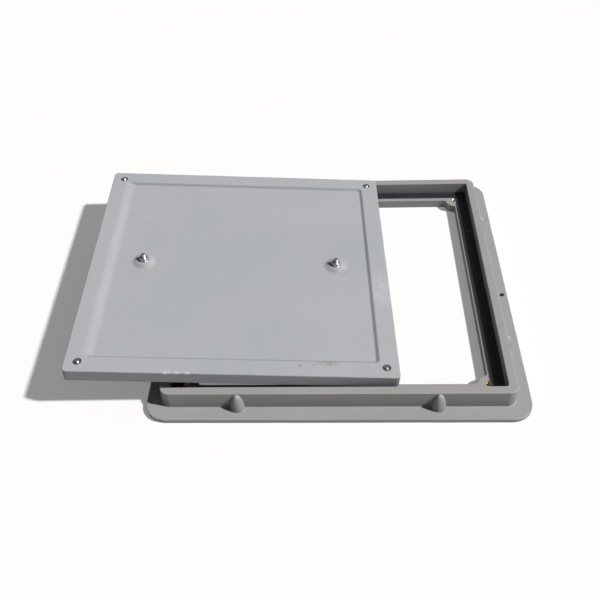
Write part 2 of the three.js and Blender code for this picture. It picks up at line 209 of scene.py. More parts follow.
def quarter(turn):
    """A turn of so many quarters about the upright axis."""
    return Matrix.Rotation(turn * math.pi / 2, 3, "Z")


def square_ring(side, radius, height):
    """Points round a rounded square, counter-clockwise from the near left."""
    half, points = side / 2, []
    straight = half - radius
    for turn in range(4):
        for step in range(ALONG + 1):
            along = straight * (2 * step / ALONG - 1)
            points.append(quarter(turn) @ Vector((along, -half, height)))
        for step in range(1, ROUND):
            angle = math.pi / 2 * (step / ROUND - 1)
            across, back = radius * math.cos(angle), radius * math.sin(angle)
            points.append(quarter(turn) @ Vector((straight + across, back - straight, height)))
    return points


def new_piece(name, vertices, faces, place=None):
    """A mesh object from points and faces."""
    mesh = bpy.data.meshes.new(name)
    mesh.from_pydata([tuple(point) for point in vertices], [], faces)
    if place is not None:
        mesh.transform(place)
    mesh.update()
    made = bpy.data.objects.new(name, mesh)
    scene.collection.objects.link(made)
    return made


def loft(name, rings, closed=False):
    """Joins rings into a shell. Its ends are capped, unless the last ring joins the first."""
    count = len(rings[0])
    faces = []
    for row in range(len(rings) if closed else len(rings) - 1):
        above = (row + 1) % len(rings)
        for step in range(count):
            beside = (step + 1) % count
            faces.append((row * count + step, row * count + beside,
                          above * count + beside, above * count + step))
    if not closed:
        faces.append(tuple(reversed(range(count))))
        faces.append(tuple((len(rings) - 1) * count + step for step in range(count)))
    return new_piece(name, [point for ring in rings for point in ring], faces)


BEND_STEPS = 4


def bend(centre, radius, start, end, steps=BEND_STEPS):
    """Points of an arc in a section, from one angle to another, in degrees."""
    across, height = centre
    angles = [math.radians(start + (end - start) * step / steps) for step in range(steps + 1)]
    return [(across + radius * math.cos(a), height + radius * math.sin(a)) for a in angles]


print("points in each ring:", 4 * (ALONG + ROUND))

# %% [markdown]
# ## Turned shapes and cutting
#
# Bosses, ribs, bushes, screws and washers are turned: a profile of radius and height spun about
# an axis. The Screw modifier can do it, but a small function that writes the rings itself gives
# full control of the number of sides, and closes the poles. Holes and joins are Boolean
# modifiers with the exact solver. Each modifier is applied by making a plain mesh from the
# evaluated object, which leaves nothing live behind.

# %% Turned shapes
SIDES = 48                    # on a turned shape, unless it says otherwise


def turned(name, profile, sides=SIDES, place=None):
    """Spins a profile of (radius, height) about Z. It starts and ends on the axis, or closes."""
    on_axis = profile[0][0] == 0
    rows = profile[1:-1] if on_axis else profile
    vertices, faces = [], []
    for radius, height in rows:
        for step in range(sides):
            angle = 2 * math.pi * step / sides
            vertices.append(Vector((radius * math.cos(angle), radius * math.sin(angle), height)))
    last = len(rows) - 1
    for row in range(last if on_axis else last + 1):
        above = (row + 1) % len(rows)
        for step in range(sides):
            beside = (step + 1) % sides
            faces.append((row * sides + step, row * sides + beside,
                          above * sides + beside, above * sides + step))
    if on_axis:
        faces.append(tuple(reversed(range(sides))))
        faces.append(tuple(last * sides + step for step in range(sides)))
    return new_piece(name, vertices, faces, place)


print("sides on a turned shape:", SIDES)


# %% Plain meshes, cuts and copies
def plain_mesh(piece):
    """Applies a piece's modifiers by making a plain mesh of what they give."""
    graph = bpy.context.evaluated_depsgraph_get()
    result = bpy.data.meshes.new_from_object(piece.evaluated_get(graph))
    piece.modifiers.clear()
    piece.data = result
    return piece


def combine(piece, tools, operation):
    """Cuts, joins or intersects a piece with tools, which are used up."""
    for tool in tools:
        change = piece.modifiers.new(operation, "BOOLEAN")
        change.operation = operation
        change.solver = "EXACT"
        change.object = tool
    plain_mesh(piece)
    for tool in tools:
        bpy.data.objects.remove(tool)
    return piece


def joined_copy(name, piece, places):
    """One mesh of a piece repeated at several places."""
    vertices, faces = [], []
    for place in places:
        start = len(vertices)
        vertices += [place @ vertex.co for vertex in piece.data.vertices]
        faces += [tuple(start + index for index in face.vertices) for face in piece.data.polygons]
    bpy.data.objects.remove(piece)
    return new_piece(name, vertices, faces)


# %% [markdown]
# ## Settling a piece
#
# Every piece ends in the same way. It's carried from millimetres into its place, given its finish,
# and shaded smooth except at real corners. A Weighted Normal modifier keeps the large flat faces
# looking flat beside their small rounded edges.

# %% Settle a finished piece
SHARP = 35                    # degrees, beyond which an edge stays a corner


def settle(piece, place, body, finish, stands_for, sharp=SHARP):
    """Puts a finished piece in place, smooths it, gives it its finish and its body."""
    piece.data.transform(place)
    piece.data.materials.clear()
    piece.data.materials.append(finish)
    for face in piece.data.polygons:
        face.use_smooth = True
        face.material_index = 0
    piece.data.set_sharp_from_angle(angle=math.radians(sharp))
    weights = piece.modifiers.new("even_shading", "WEIGHTED_NORMAL")
    weights.keep_sharp = True
    plain_mesh(piece)
    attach(piece, body)
    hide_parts(*stands_for)
    size = [round(value / MM, 1) for value in piece.dimensions]
    print(piece.name, "faces", len(piece.data.polygons), "size in mm", size)


# %% [markdown]
# ## Geometry Nodes that repeat a piece
#
# The frame has eight equal ribs, four equal bushes and many equal pockets, all set out from the
# middle of each side. Copying them by hand would be slow to change. One node tree takes the piece
# as its input, makes a row of points for each side, turns each row by a quarter, and puts the
# piece on every point. Its inputs say how many stand on each side, how far apart, and how far from
# the middle. A second tree lays a piece out on a square grid, with every other one turned, and
# leaves out those that would lie over something else.

# %% Helpers for writing node trees
FLOAT, INTEGER, GEOMETRY, MATERIAL = (
    "NodeSocketFloat", "NodeSocketInt", "NodeSocketGeometry", "NodeSocketMaterial")


class NodeTree:
    """A geometry node tree with named inputs, written from left to right."""

    def __init__(self, name, inputs):
        self.tree = bpy.data.node_groups.new(name, "GeometryNodeTree")
        sockets = self.tree.interface
        sockets.new_socket("Piece", in_out="INPUT", socket_type=GEOMETRY)
        for label, kind in inputs:
            sockets.new_socket(label, in_out="INPUT", socket_type=kind)
        sockets.new_socket("Material", in_out="INPUT", socket_type=MATERIAL)
        sockets.new_socket("Result", in_out="OUTPUT", socket_type=GEOMETRY)
        self.start = self.tree.nodes.new("NodeGroupInput")
        self.end = self.tree.nodes.new("NodeGroupOutput")

    def input(self, label):
        return self.start.outputs[label]

    def node(self, kind, settings=None, **sockets):
        """Adds a node. A socket's name has its spaces written as underscores."""
        made = self.tree.nodes.new(kind)
        for key, value in (settings or {}).items():
            setattr(made, key, value)
        for label, value in sockets.items():
            self.feed(made.inputs[label.replace("_", " ")], value)
        return made

    def feed(self, socket, value):
        if isinstance(value, bpy.types.NodeSocket):
            self.tree.links.new(value, socket)
        else:
            socket.default_value = value

    def math(self, operation, *values):
        made = self.tree.nodes.new("ShaderNodeMath")
        made.operation = operation
        for socket, value in zip(made.inputs, values):
            self.feed(socket, value)
        return made.outputs[0]

    def plus(self, first, second):
        return self.math("ADD", first, second)

    def minus(self, first, second):
        return self.math("SUBTRACT", first, second)

    def times(self, first, second):
        return self.math("MULTIPLY", first, second)

    def over(self, first, second):
        return self.math("DIVIDE", first, second)

    def vector(self, x, y, z):
        return self.node("ShaderNodeCombineXYZ", X=x, Y=y, Z=z).outputs[0]

    def position(self):
        """The x, y and z of each point."""
        here = self.node("GeometryNodeInputPosition").outputs[0]
        return self.node("ShaderNodeSeparateXYZ", Vector=here).outputs

    def report(self):
        print("node tree", self.tree.name, "has", len(self.tree.nodes), "nodes")

    def finish(self, geometry):
        """Ends the tree in Realize Instances and Set Material."""
        real = self.node("GeometryNodeRealizeInstances", Geometry=geometry)
        painted = self.node("GeometryNodeSetMaterial", Geometry=real.outputs[0],
                            Material=self.input("Material"))
        self.tree.links.new(painted.outputs[0], self.end.inputs[0])


def run_tree(piece, written, values):
    """Runs a node tree on a piece, and keeps the result as a plain mesh."""
    tree = written.tree
    change = piece.modifiers.new(tree.name, "NODES")
    change.node_group = tree
    labels = {item.name: item.identifier for item in tree.interface.items_tree
              if item.in_out == "INPUT"}
    for label, value in values.items():
        change[labels[label]] = value
    return plain_mesh(piece)


print("socket kinds:", FLOAT, INTEGER, GEOMETRY, MATERIAL)

# %% Round a square: equal pieces set out along each side
round_square = NodeTree("round_a_square", [
    ("Each Side", INTEGER), ("Spacing", FLOAT), ("Shift", FLOAT), ("Distance", FLOAT)])
t = round_square
index = t.node("GeometryNodeInputIndex").outputs[0]
side_number = t.math("FLOOR", t.over(index, t.input("Each Side")))
in_row = t.minus(index, t.times(side_number, t.input("Each Side")))
row_middle = t.times(t.minus(t.input("Each Side"), 1.0), 0.5)
along_side = t.plus(t.times(t.minus(in_row, row_middle), t.input("Spacing")), t.input("Shift"))
turn_angle = t.times(side_number, math.pi / 2)
spot = t.node("ShaderNodeVectorRotate", {"rotation_type": "Z_AXIS"},
              Vector=t.vector(along_side, t.times(t.input("Distance"), -1.0), 0.0),
              Angle=turn_angle)
points = t.node("GeometryNodePoints", Count=t.times(t.input("Each Side"), 4.0),
                Position=spot.outputs[0])
standing = t.node("GeometryNodeInstanceOnPoints", Points=points.outputs[0],
                  Instance=t.input("Piece"), Rotation=t.vector(0.0, 0.0, turn_angle))
t.finish(standing.outputs[0])
t.report()


def set_out(piece, distance, each_side=1, spacing=0.0, shift=0.0):
    """Sets a piece out along the four sides of a square."""
    return run_tree(piece, round_square, {"Each Side": each_side, "Spacing": spacing,
                                          "Shift": shift, "Distance": distance})


# %% On a grid: every other piece turned, and some places kept clear
on_grid = NodeTree("on_a_grid", [
    ("Count", INTEGER), ("Pitch", FLOAT), ("Alternate Turn", FLOAT),
    ("Cup Distance", FLOAT), ("Cup Clear", FLOAT),
    ("Corner Distance", FLOAT), ("Corner Clear", FLOAT)])
t = on_grid
reach = t.times(t.minus(t.input("Count"), 1.0), t.input("Pitch"))
grid = t.node("GeometryNodeMeshGrid", Size_X=reach, Size_Y=reach,
              Vertices_X=t.input("Count"), Vertices_Y=t.input("Count"))
position = t.position()
away_x, away_y = t.math("ABSOLUTE", position["X"]), t.math("ABSOLUTE", position["Y"])


def far_from(tree, x, y, clear):
    """Whether a grid point is further than clear from a point in the first quarter."""
    wide, deep = tree.minus(away_x, x), tree.minus(away_y, y)
    spread = tree.math("SQRT", tree.plus(tree.times(wide, wide), tree.times(deep, deep)))
    return tree.math("GREATER_THAN", spread, clear)


off_cups = far_from(t, t.input("Cup Distance"), 0.0, t.input("Cup Clear"))
off_corners = far_from(t, t.input("Corner Distance"), t.input("Corner Distance"),
                       t.input("Corner Clear"))
kept = t.times(off_cups, off_corners)
index = t.node("GeometryNodeInputIndex").outputs[0]
grid_row = t.math("FLOOR", t.over(index, t.input("Count")))
even_count = t.minus(1.0, t.math("MODULO", t.input("Count"), 2.0))
odd = t.math("MODULO", t.plus(index, t.times(grid_row, even_count)), 2.0)
laid = t.node("GeometryNodeInstanceOnPoints", Points=grid.outputs["Mesh"],
              Instance=t.input("Piece"), Selection=kept,
              Rotation=t.vector(0.0, 0.0, t.times(odd, t.input("Alternate Turn"))))
t.finish(laid.outputs[0])
t.report()

EVERYWHERE = (0.0, -1.0)      # a distance and a clearance that leave nothing out


def lay_out(piece, count, pitch, alternate_turn=0.0, cups=EVERYWHERE, corners=EVERYWHERE):
    """Lays a piece out on a square grid, clear of the cups and the corners."""
    return run_tree(piece, on_grid, {
        "Count": count, "Pitch": pitch, "Alternate Turn": alternate_turn,
        "Cup Distance": cups[0], "Cup Clear": cups[1],
        "Corner Distance": corners[0], "Corner Clear": corners[1]})


# %% [markdown]
# ## A thread from a rule
#
# A screw thread is a shape that follows one rule: the radius at a point depends on its height and
# on its angle, so that the crest climbs by one pitch in one turn. Sweeping a small triangle along
# a spiral makes a thread too, but leaves two shells pushed into each other. Here a cylinder with
# many rings is given to a node tree, which moves each point in or out by the rule, so the thread
# and its core are one closed skin. The ends are turned down to a chamfer, as on a real bolt.

# %% Thread tree
THREAD_SIDES, RINGS_IN_A_PITCH = 36, 6
LIFT = 100.0                  # whole turns added, because the fraction of a negative differs

threaded = NodeTree("threaded_rod", [
    ("Radius", FLOAT), ("Length", FLOAT), ("Pitch", FLOAT), ("Depth", FLOAT), ("Chamfer", FLOAT),
    ("Rings", INTEGER)])
t = threaded
rod = t.node("GeometryNodeMeshCylinder", {"fill_type": "NGON"}, Vertices=THREAD_SIDES,
             Side_Segments=t.input("Rings"), Radius=t.input("Radius"), Depth=t.input("Length"))
x, y, z = t.position()
around = t.over(t.math("ARCTAN2", y, x), 2 * math.pi)
phase = t.math("FRACT", t.plus(t.minus(t.over(z, t.input("Pitch")), around), LIFT))
groove = t.times(t.math("ABSOLUTE", t.minus(phase, 0.5)), 2.0)
thread_radius = t.minus(t.input("Radius"), t.times(groove, t.input("Depth")))
to_end = t.minus(t.times(t.input("Length"), 0.5), t.math("ABSOLUTE", z))
end_radius = t.plus(t.minus(t.input("Radius"), t.input("Chamfer")), to_end)
shrink = t.over(t.math("MINIMUM", thread_radius, end_radius), t.input("Radius"))
moved = t.node("GeometryNodeSetPosition", Geometry=rod.outputs["Mesh"],
               Position=t.vector(t.times(x, shrink), t.times(y, shrink), z))
t.finish(moved.outputs[0])
t.report()


def threaded_rod(radius, low_end, high_end, pitch, depth, chamfer):
    """A threaded rod between two heights."""
    rod_piece = new_piece("rod", [], [])
    length = high_end - low_end
    run_tree(rod_piece, threaded, {
        "Radius": radius, "Length": length, "Pitch": pitch, "Depth": depth,
        "Chamfer": chamfer, "Rings": round(length / pitch * RINGS_IN_A_PITCH)})
    rod_piece.data.transform(Matrix.Translation((0, 0, (low_end + high_end) / 2)))
    return rod_piece


# %% [markdown]
# ## Finishes
#
# Seven finishes cover the set: moulded composite in three greys, black and dusty rubber, brass and
# zinc. Each could be painted as an image, but a procedural material needs no unwrapping and has
# detail at any distance. All patterns read Object coordinates, so they stay on the piece in every
# view. A small class keeps each finish short: it adds nodes by name and links what it is given.

# %% A small kit for materials
class Finish:
    """A material whose nodes are added one at a time."""

    def __init__(self, name):
        self.material = bpy.data.materials.new(name)
        self.material.use_nodes = True
        self.nodes = self.material.node_tree.nodes
        self.links = self.material.node_tree.links
        self.shader = self.nodes["Principled BSDF"]
        places = self.add("ShaderNodeTexCoord")
        self.where, self.facing = places.outputs["Object"], places.outputs["Normal"]

    def add(self, kind, settings=None, **sockets):
        made = self.nodes.new(kind)
        for key, value in (settings or {}).items():
            setattr(made, key, value)
        for label, value in sockets.items():
            self.feed(made.inputs[label.replace("_", " ")], value)
        return made

    def feed(self, socket, value):
        if isinstance(value, bpy.types.NodeSocket):
            self.links.new(value, socket)
        else:
            socket.default_value = value

    def clouds(self, scale, detail=3.0, stretch=(1, 1, 1), turn=0.0, roughness=0.55):
        """Noise of a given scale, in patches per metre, stretched if need be."""
        placed = self.add("ShaderNodeMapping", Vector=self.where,
                          Scale=stretch, Rotation=(0, 0, turn))
        return self.add("ShaderNodeTexNoise", Vector=placed.outputs[0], Scale=scale,
                        Detail=detail, Roughness=roughness).outputs["Fac"]

    def band(self, value, start, end, to_low=0.0, to_high=1.0):
        """Maps a value between two limits onto two others, and clamps it."""
        made = self.add("ShaderNodeMapRange", Value=value)
        for label, number in zip(("From Min", "From Max", "To Min", "To Max"),
                                 (start, end, to_low, to_high)):
            made.inputs[label].default_value = number
        return made.outputs[0]

    def near(self, place, inner, outer, stretch=(1, 1, 1)):
        """One at a place, falling to nothing further off. Distances are in metres."""
        moved = self.add("ShaderNodeMapping", {"vector_type": "POINT"}, Vector=self.where,
                         Location=tuple(-c * k for c, k in zip(place, stretch)), Scale=stretch)
        gap = self.add("ShaderNodeVectorMath", {"operation": "LENGTH"}, Vector=moved.outputs[0])
        return self.band(gap.outputs["Value"], inner, outer, 1.0, 0.0)

    def tilt(self):
        """The three shares of the way a face points: to the right, back and up."""
        return self.add("ShaderNodeSeparateXYZ", Vector=self.facing).outputs

    def level(self):
        """How level a face is: one facing up or down, nothing on an upright wall."""
        return self.add("ShaderNodeMath", {"operation": "ABSOLUTE"},
                        Value=self.tilt()["Z"]).outputs[0]

    def times(self, first, second):
        made = self.add("ShaderNodeMath", {"operation": "MULTIPLY"})
        self.feed(made.inputs[0], first)
        self.feed(made.inputs[1], second)
        return made.outputs[0]

    def mix(self, amount, first, second):
        """Mixes two colours by an amount."""
        made = self.add("ShaderNodeMix", {"data_type": "RGBA"})
        self.feed(made.inputs[0], amount)
        self.feed(made.inputs[6], first)
        self.feed(made.inputs[7], second)
        return made.outputs[2]

    def bump(self, height, distance, strength, under=None):
        """Tilts the surface by a height, on top of another bump if there is one."""
        made = self.add("ShaderNodeBump", Height=height, Distance=distance, Strength=strength)
        if under is not None:
            self.feed(made.inputs["Normal"], under)
        return made.outputs[0]


def shade(tone, lift=1.0):
    """A tone made lighter or darker, as a colour with its alpha."""
    return tuple(channel * lift for channel in tone) + (1,)


print("kit ready:", Finish.__name__)

# %% [markdown]
# ## Moulded composite
#
# A moulded composite is not one flat grey. It has cloudy patches where the resin flowed, a fine
# grain, dark specks and thin scratches, and its edges are scuffed pale. Its upright walls, and the
# slopes that face the front, are darkened with painted shade. Each of those is one noise or one
# direction, mixed in a little. Marks at known places are soft balls round a point, broken up by
# noise so that none has a clean outline.

# %% Layers of the composite
COOL, WARM = (0.94, 0.965, 0.975), (1.045, 1.03, 1.03)
SOFT, MEDIUM, FINE, FINEST = 2.0, 4.0, 5.0, 6.0               # how much detail a noise has
FAINT, MILD, SPARSE = 0.12, 0.16, 0.35                        # how strongly a layer shows
CLOUDS, PATCHES, GRAINS, STREAKS = 5.0, 38.0, 1400.0, 9.0     # all in patches per metre
SPECKS, SPECK_GROUPS, CHIPS, BREAKS = 70.0, 12.0, 160.0, 220.0
MIDDLE = (0.3, 0.7)           # takes in nearly all of a noise
MARK_CORE = 0.35              # share of a mark's reach at full strength


def mottled(f, tone, clouds, patches, grains):
    """Cool and warm clouds, then darker patches, then a fine grain."""
    cool, warm = (tuple(t * c for t, c in zip(tone, tint)) + (1,) for tint in (COOL, WARM))
    colour = f.mix(f.band(clouds, 0.35, 0.65), cool, warm)
    colour = f.mix(f.band(patches, 0.5, 0.75, 0.0, SPARSE), colour, shade(tone, 0.90))
    return f.mix(f.band(grains, *MIDDLE, 0.0, MILD), colour, shade(tone, 0.72))


def specked(f, tone, colour, specks):
    """Dark specks, in scattered groups."""
    spots = f.add("ShaderNodeTexVoronoi", Vector=f.where, Scale=SPECKS, Randomness=1.0)
    dark = f.band(spots.outputs["Distance"], 0.05, 0.08, 0.55 * specks, 0.0)
    rare = f.band(f.clouds(SPECK_GROUPS, SOFT), 0.55, 0.60)
    return f.mix(f.times(dark, rare), colour, shade(tone, 0.25))


def scuffed(f, tone, colour):
    """Pale wear on convex edges, where they are chipped."""
    bulge = f.add("ShaderNodeNewGeometry").outputs["Pointiness"]
    worn = f.band(bulge, 0.515, 0.56, 0.0, FAINT)
    chips = f.band(f.clouds(CHIPS, MEDIUM), 0.42, 0.6)
    return f.mix(f.times(worn, chips), colour, shade(tone, 1.35))


def paint_shade_by_facing(f, tone, colour, wall_shade, slope_shade):
    """Painted shade on upright walls, and on slopes that face the front."""
    # Upright walls are darkened: painted shade.
    colour = f.mix(f.band(f.level(), 0.35, 0.75, wall_shade, 0.0), colour, shade(tone, 0.30))
    # Slopes that face the front are darkened too: painted shade.
    facing = f.tilt()
    front = f.band(facing["Y"], -0.50, -0.10, slope_shade, 0.0)
    front_slope_shade = f.times(front, f.band(facing["Z"], 0.6, 0.8))
    return f.mix(front_slope_shade, colour, shade(tone, 0.45))


def marked(f, colour, marks):
    """Stains and scuffs: each a place, a reach, a stretch, a strength and a tone."""
    broken = f.band(f.clouds(BREAKS, FINE), 0.35, 0.6)
    for place, reach, stretch, strength, tone in marks:
        amount = f.times(f.near(place, reach * MARK_CORE, reach, stretch), broken)
        colour = f.mix(f.times(amount, strength), colour, shade(tone))
    return colour


print("patches per metre:", CLOUDS, PATCHES, GRAINS, STREAKS)

# %% [markdown]
# The layers go on in this order: the moulding's own mottling, then scratches, specks and worn
# edges, then painted shade on walls and slopes, and the marks last. Three bumps lie on each other
# in the same way, a soft one of the clouds, the grain and the scratches. Their heights are in
# metres.

# %% The composite itself
STREAK_STRETCH, STREAK_TURN, STREAK_ROUGHNESS = (1, 30, 1), 0.35, 0.7
CLOUD_HEIGHT, SCRATCH_HEIGHT = 0.0012, 0.00005
GRAIN_HEIGHT, COARSE_GRAIN, WALKING_GRAIN = 0.00006, 0.00012, 0.0002
COMPOSITE_SHEEN = 0.35
PAINTED_SHADE = (0.36, 0.0)      # painted shade on walls and on slopes


def composite(name, tone, rough, grain=GRAIN_HEIGHT, specks=1.0, painted_shade=PAINTED_SHADE, marks=()):
    """Moulded composite of one tone and roughness."""
    f = Finish(name)
    clouds, patches = f.clouds(CLOUDS, MEDIUM), f.clouds(PATCHES, FINE)
    grains = f.clouds(GRAINS, SOFT)
    colour = mottled(f, tone, clouds, patches, grains)
    streaks = f.clouds(STREAKS, FINEST, STREAK_STRETCH, STREAK_TURN, STREAK_ROUGHNESS)
    scratches = f.band(streaks, 0.70, 0.74, 0.0, SPARSE)
    colour = f.mix(scratches, colour, shade(tone, 1.25))
    colour = specked(f, tone, colour, specks)
    colour = scuffed(f, tone, colour)
    # Walls and front-facing slopes are darkened here: painted shade.
    colour = paint_shade_by_facing(f, tone, colour, *painted_shade)
    f.feed(f.shader.inputs["Base Color"], marked(f, colour, marks))
    f.feed(f.shader.inputs["Roughness"], f.band(patches, *MIDDLE, rough - 0.06, rough + 0.08))
    soft = f.bump(clouds, CLOUD_HEIGHT, 0.5)
    fine = f.bump(grains, grain, 0.6, soft)
    f.feed(f.shader.inputs["Normal"], f.bump(scratches, SCRATCH_HEIGHT, 0.4, fine))
    f.shader.inputs["Specular IOR Level"].default_value = COMPOSITE_SHEEN
    return f.material


print("a stretched streak is", STREAK_STRETCH[1], "times as long as it's wide")

# %% Marks on the lid, and the three composites
LID_TONE = (0.288, 0.297, 0.315)
FRAME_TONE = (0.243, 0.243, 0.239)
DECK_TONE = (0.215, 0.22, 0.23)
STAIN, RUST = (0.17, 0.15, 0.13), (0.34, 0.29, 0.26)
PALE, DARK = (0.55, 0.56, 0.58), (0.06, 0.06, 0.065)
EVEN, LONG, DEEP = (1, 1, 1), (0.4, 1, 1), (1, 0.45, 1)       # a small share stretches a mark
MARK_HEIGHT = 24              # millimetres up the lid

# millimetres to the right and back, reach in metres, stretch, strength and tone
LID_MARKS = [
    (120, -276, 0.004, EVEN, 0.8, DARK), (134, -281, 0.003, EVEN, 0.7, DARK),
    (145, -273, 0.003, EVEN, 0.7, DARK), (170, -268, 0.011, LONG, 0.5, STAIN),
    (-116, -298, 0.004, LONG, 0.7, PALE), (-98, -298, 0.003, LONG, 0.7, PALE),
    (-79, -298, 0.003, LONG, 0.7, PALE), (283, -72, 0.030, DEEP, 0.22, PALE),
    (212, -20, 0.006, DEEP, 0.6, STAIN), (-166, -18, 0.016, LONG, 0.35, RUST)]
lid_marks = [(lid_place @ Vector((across, back, MARK_HEIGHT)), *rest)
             for across, back, *rest in LID_MARKS]

# The lid gets stronger painted shade on its walls, and some on its front-facing slopes.
lid_finish = composite("lid_composite", LID_TONE, 0.56, painted_shade=(0.70, 0.6), marks=lid_marks)
frame_finish = composite("frame_composite", FRAME_TONE, 0.58, grain=COARSE_GRAIN, specks=0.7)
deck_finish = composite("deck_composite", DECK_TONE, 0.66, grain=WALKING_GRAIN)
print("composite finishes:", lid_finish.name, frame_finish.name, deck_finish.name)

# %% [markdown]
# ## Rubber, brass and zinc
#
# The seal is extruded rubber, nearly black, with dust in patches and a low sheen that varies. The
# rings round the lock screws are older and dustier. The bushes are brass and the bolts are
# zinc-plated steel. Both metals are turned, which leaves fine marks round the axis, so their noise
# is squeezed along it. Tarnish is a second tone in patches.

# %% Rubber
RUBBER_DUST, RUBBER_GRAIN, RUBBER_SHEEN = 22.0, 2200.0, 60.0  # patches per metre
RUBBER_HEIGHT = 0.00008


def rubber(name, clean, dusty):
    """Extruded rubber: dark, dusty in patches, with a low sheen."""
    f = Finish(name)
    dust = f.band(f.clouds(RUBBER_DUST, FINEST), 0.48, 0.75, 0.0, SPARSE)
    f.feed(f.shader.inputs["Base Color"], f.mix(dust, shade(clean), shade(dusty)))
    f.feed(f.shader.inputs["Roughness"], f.band(f.clouds(RUBBER_SHEEN), *MIDDLE, 0.38, 0.62))
    grains = f.clouds(RUBBER_GRAIN, SOFT)
    f.feed(f.shader.inputs["Normal"], f.bump(grains, RUBBER_HEIGHT, 0.5))
    return f.material


# The faint blue in both of the seal's tones is painted sky light, for rubber that lies in shade.
seal_finish = rubber("black_rubber", (0.009, 0.010, 0.017), (0.035, 0.038, 0.046))
ring_finish = rubber("dusty_rubber", (0.040, 0.041, 0.045), (0.13, 0.13, 0.135))
print("rubber finishes:", seal_finish.name, ring_finish.name)

# %% Brass and zinc
TARNISH, POLISH = 180.0, 420.0                                # patches per metre
SQUEEZE = (1, 1, 7)
TURNING_HEIGHT = 0.00004


def metal(name, tone, dull, rough, ring_scale):
    """A turned metal: fine marks round its axis, and tarnish in patches."""
    f = Finish(name)
    tarnish = f.band(f.clouds(TARNISH, FINE), 0.42, 0.7)
    f.feed(f.shader.inputs["Base Color"], f.mix(tarnish, shade(tone), shade(dull)))
    f.shader.inputs["Metallic"].default_value = 1.0
    f.feed(f.shader.inputs["Roughness"],
           f.band(f.clouds(POLISH), *MIDDLE, rough - 0.08, rough + 0.14))
    turning_marks = f.clouds(ring_scale, SOFT, SQUEEZE)
    f.feed(f.shader.inputs["Normal"], f.bump(turning_marks, TURNING_HEIGHT, 0.5))
    return f.material


METAL_ROUGHNESS = 0.38
brass_finish = metal("brass", (0.74, 0.60, 0.38), (0.42, 0.32, 0.19), METAL_ROUGHNESS, 900.0)
zinc_finish = metal("bright_zinc", (0.60, 0.60, 0.61), (0.30, 0.30, 0.30), METAL_ROUGHNESS, 1100.0)
print("metal finishes:", brass_finish.name, zinc_finish.name)

# %% [markdown]
# ## The frame
#
# The frame is one moulding: a wide flange that beds in mortar, an upright wall that the paving
# meets, a ledge inside that carries the lid, and round bosses in the corners for the lid's screws.
# We describe its section once, as (half side, height, corner radius) from the bottom of the clear
# opening outwards and back over the rim, and loft it as a closed tube. Every outer edge has a
# small radius, because moulded edges are never sharp and catch the light.

# %% The frame's sizes
FRAME_SIDE, WALL_SIDE, RECESS_SIDE, OPENING_SIDE = 700, 642, 608, 552
FRAME_HEIGHT, FLANGE_THICK, LEDGE_TOP = 46, 9, 18.5
FLANGE_CORNER, WALL_CORNER, RECESS_CORNER = 40, 18, 5
EDGE = 1.6                    # radius of the moulded edges
CLEAR = 0.3                   # between pieces that touch
THROUGH = 2                   # how far a cutter reaches past what it cuts
LOCK_AT = 276                 # screws and bushes, from the centre lines
BOSS_RADIUS, BOSS_FILLET = 20, 6
print("clear opening", OPENING_SIDE, "mm, frame", FRAME_SIDE, "mm")

# %% [markdown]
# The clear opening isn't a plain square: a round boss stands into each corner, with a fillet on
# either side. We trace one corner finely as three arcs and then pick points at equal distances
# along it, so that its ring has as many points as every other ring.

# %% The clear opening's outline
FILLET_STEPS, BOSS_STEPS = 32, 64


def arc(x, y, radius, start, end, steps, height):
    """Points of an arc seen from above, with its angles in radians."""
    angles = [start + (end - start) * step / steps for step in range(steps + 1)]
    return [Vector((x + radius * math.cos(a), y + radius * math.sin(a), height)) for a in angles]


def evenly(path, count):
    """Points at equal distances along a path, without its ends."""
    lengths = [0.0]
    for before, after in zip(path, path[1:]):
        lengths.append(lengths[-1] + (after - before).length)
    picked = []
    for step in range(1, count):
        target = lengths[-1] * step / count
        near = max(i for i, length in enumerate(lengths) if length <= target)
        share = (target - lengths[near]) / (lengths[near + 1] - lengths[near])
        picked.append(path[near].lerp(path[near + 1], share))
    return picked


def opening_ring(height, grow=0.0):
    """The clear opening's outline, with a round boss standing into each corner."""
    half, fillet, boss = OPENING_SIDE / 2 + grow, BOSS_FILLET, BOSS_RADIUS - grow
    reach_in = math.sqrt((boss + fillet) ** 2 - fillet ** 2)
    swing = math.asin(fillet / (boss + fillet))
    right = math.pi / 2
    path = arc(half - reach_in, -half + fillet, fillet, -right, -swing, FILLET_STEPS, height)
    path += arc(half, -half, boss, math.pi - swing, right + swing, BOSS_STEPS, height)[1:-1]
    path += arc(half - fillet, -half + reach_in, fillet, swing - right, 0, FILLET_STEPS, height)
    corner = evenly(path, ROUND)
    ring = []
    for turn in range(4):
        for step in range(ALONG + 1):
            along = (half - reach_in) * (2 * step / ALONG - 1)
            ring.append(quarter(turn) @ Vector((along, -half, height)))
        ring += [quarter(turn) @ point for point in corner]
    return ring


print("points in the opening's ring:", len(opening_ring(0)))

# %% Loft the frame's section
BED_EDGE = 12                 # where the flange's underside starts, in from its edge
WALL_FILLET, FOOT_FILLET = 2.2, 1.0
LEDGE_LIP = (1.0, 0.3)        # the rounded lip from the ledge into the opening
SHARPEST = 0.4                # least corner radius of a ring


def zone(side, corner, section):
    """Rings for part of a section. Their corner radius follows the distance from one outline."""
    return [square_ring(2 * across, max(corner - (side / 2 - across), SHARPEST), height)
            for across, height in section]


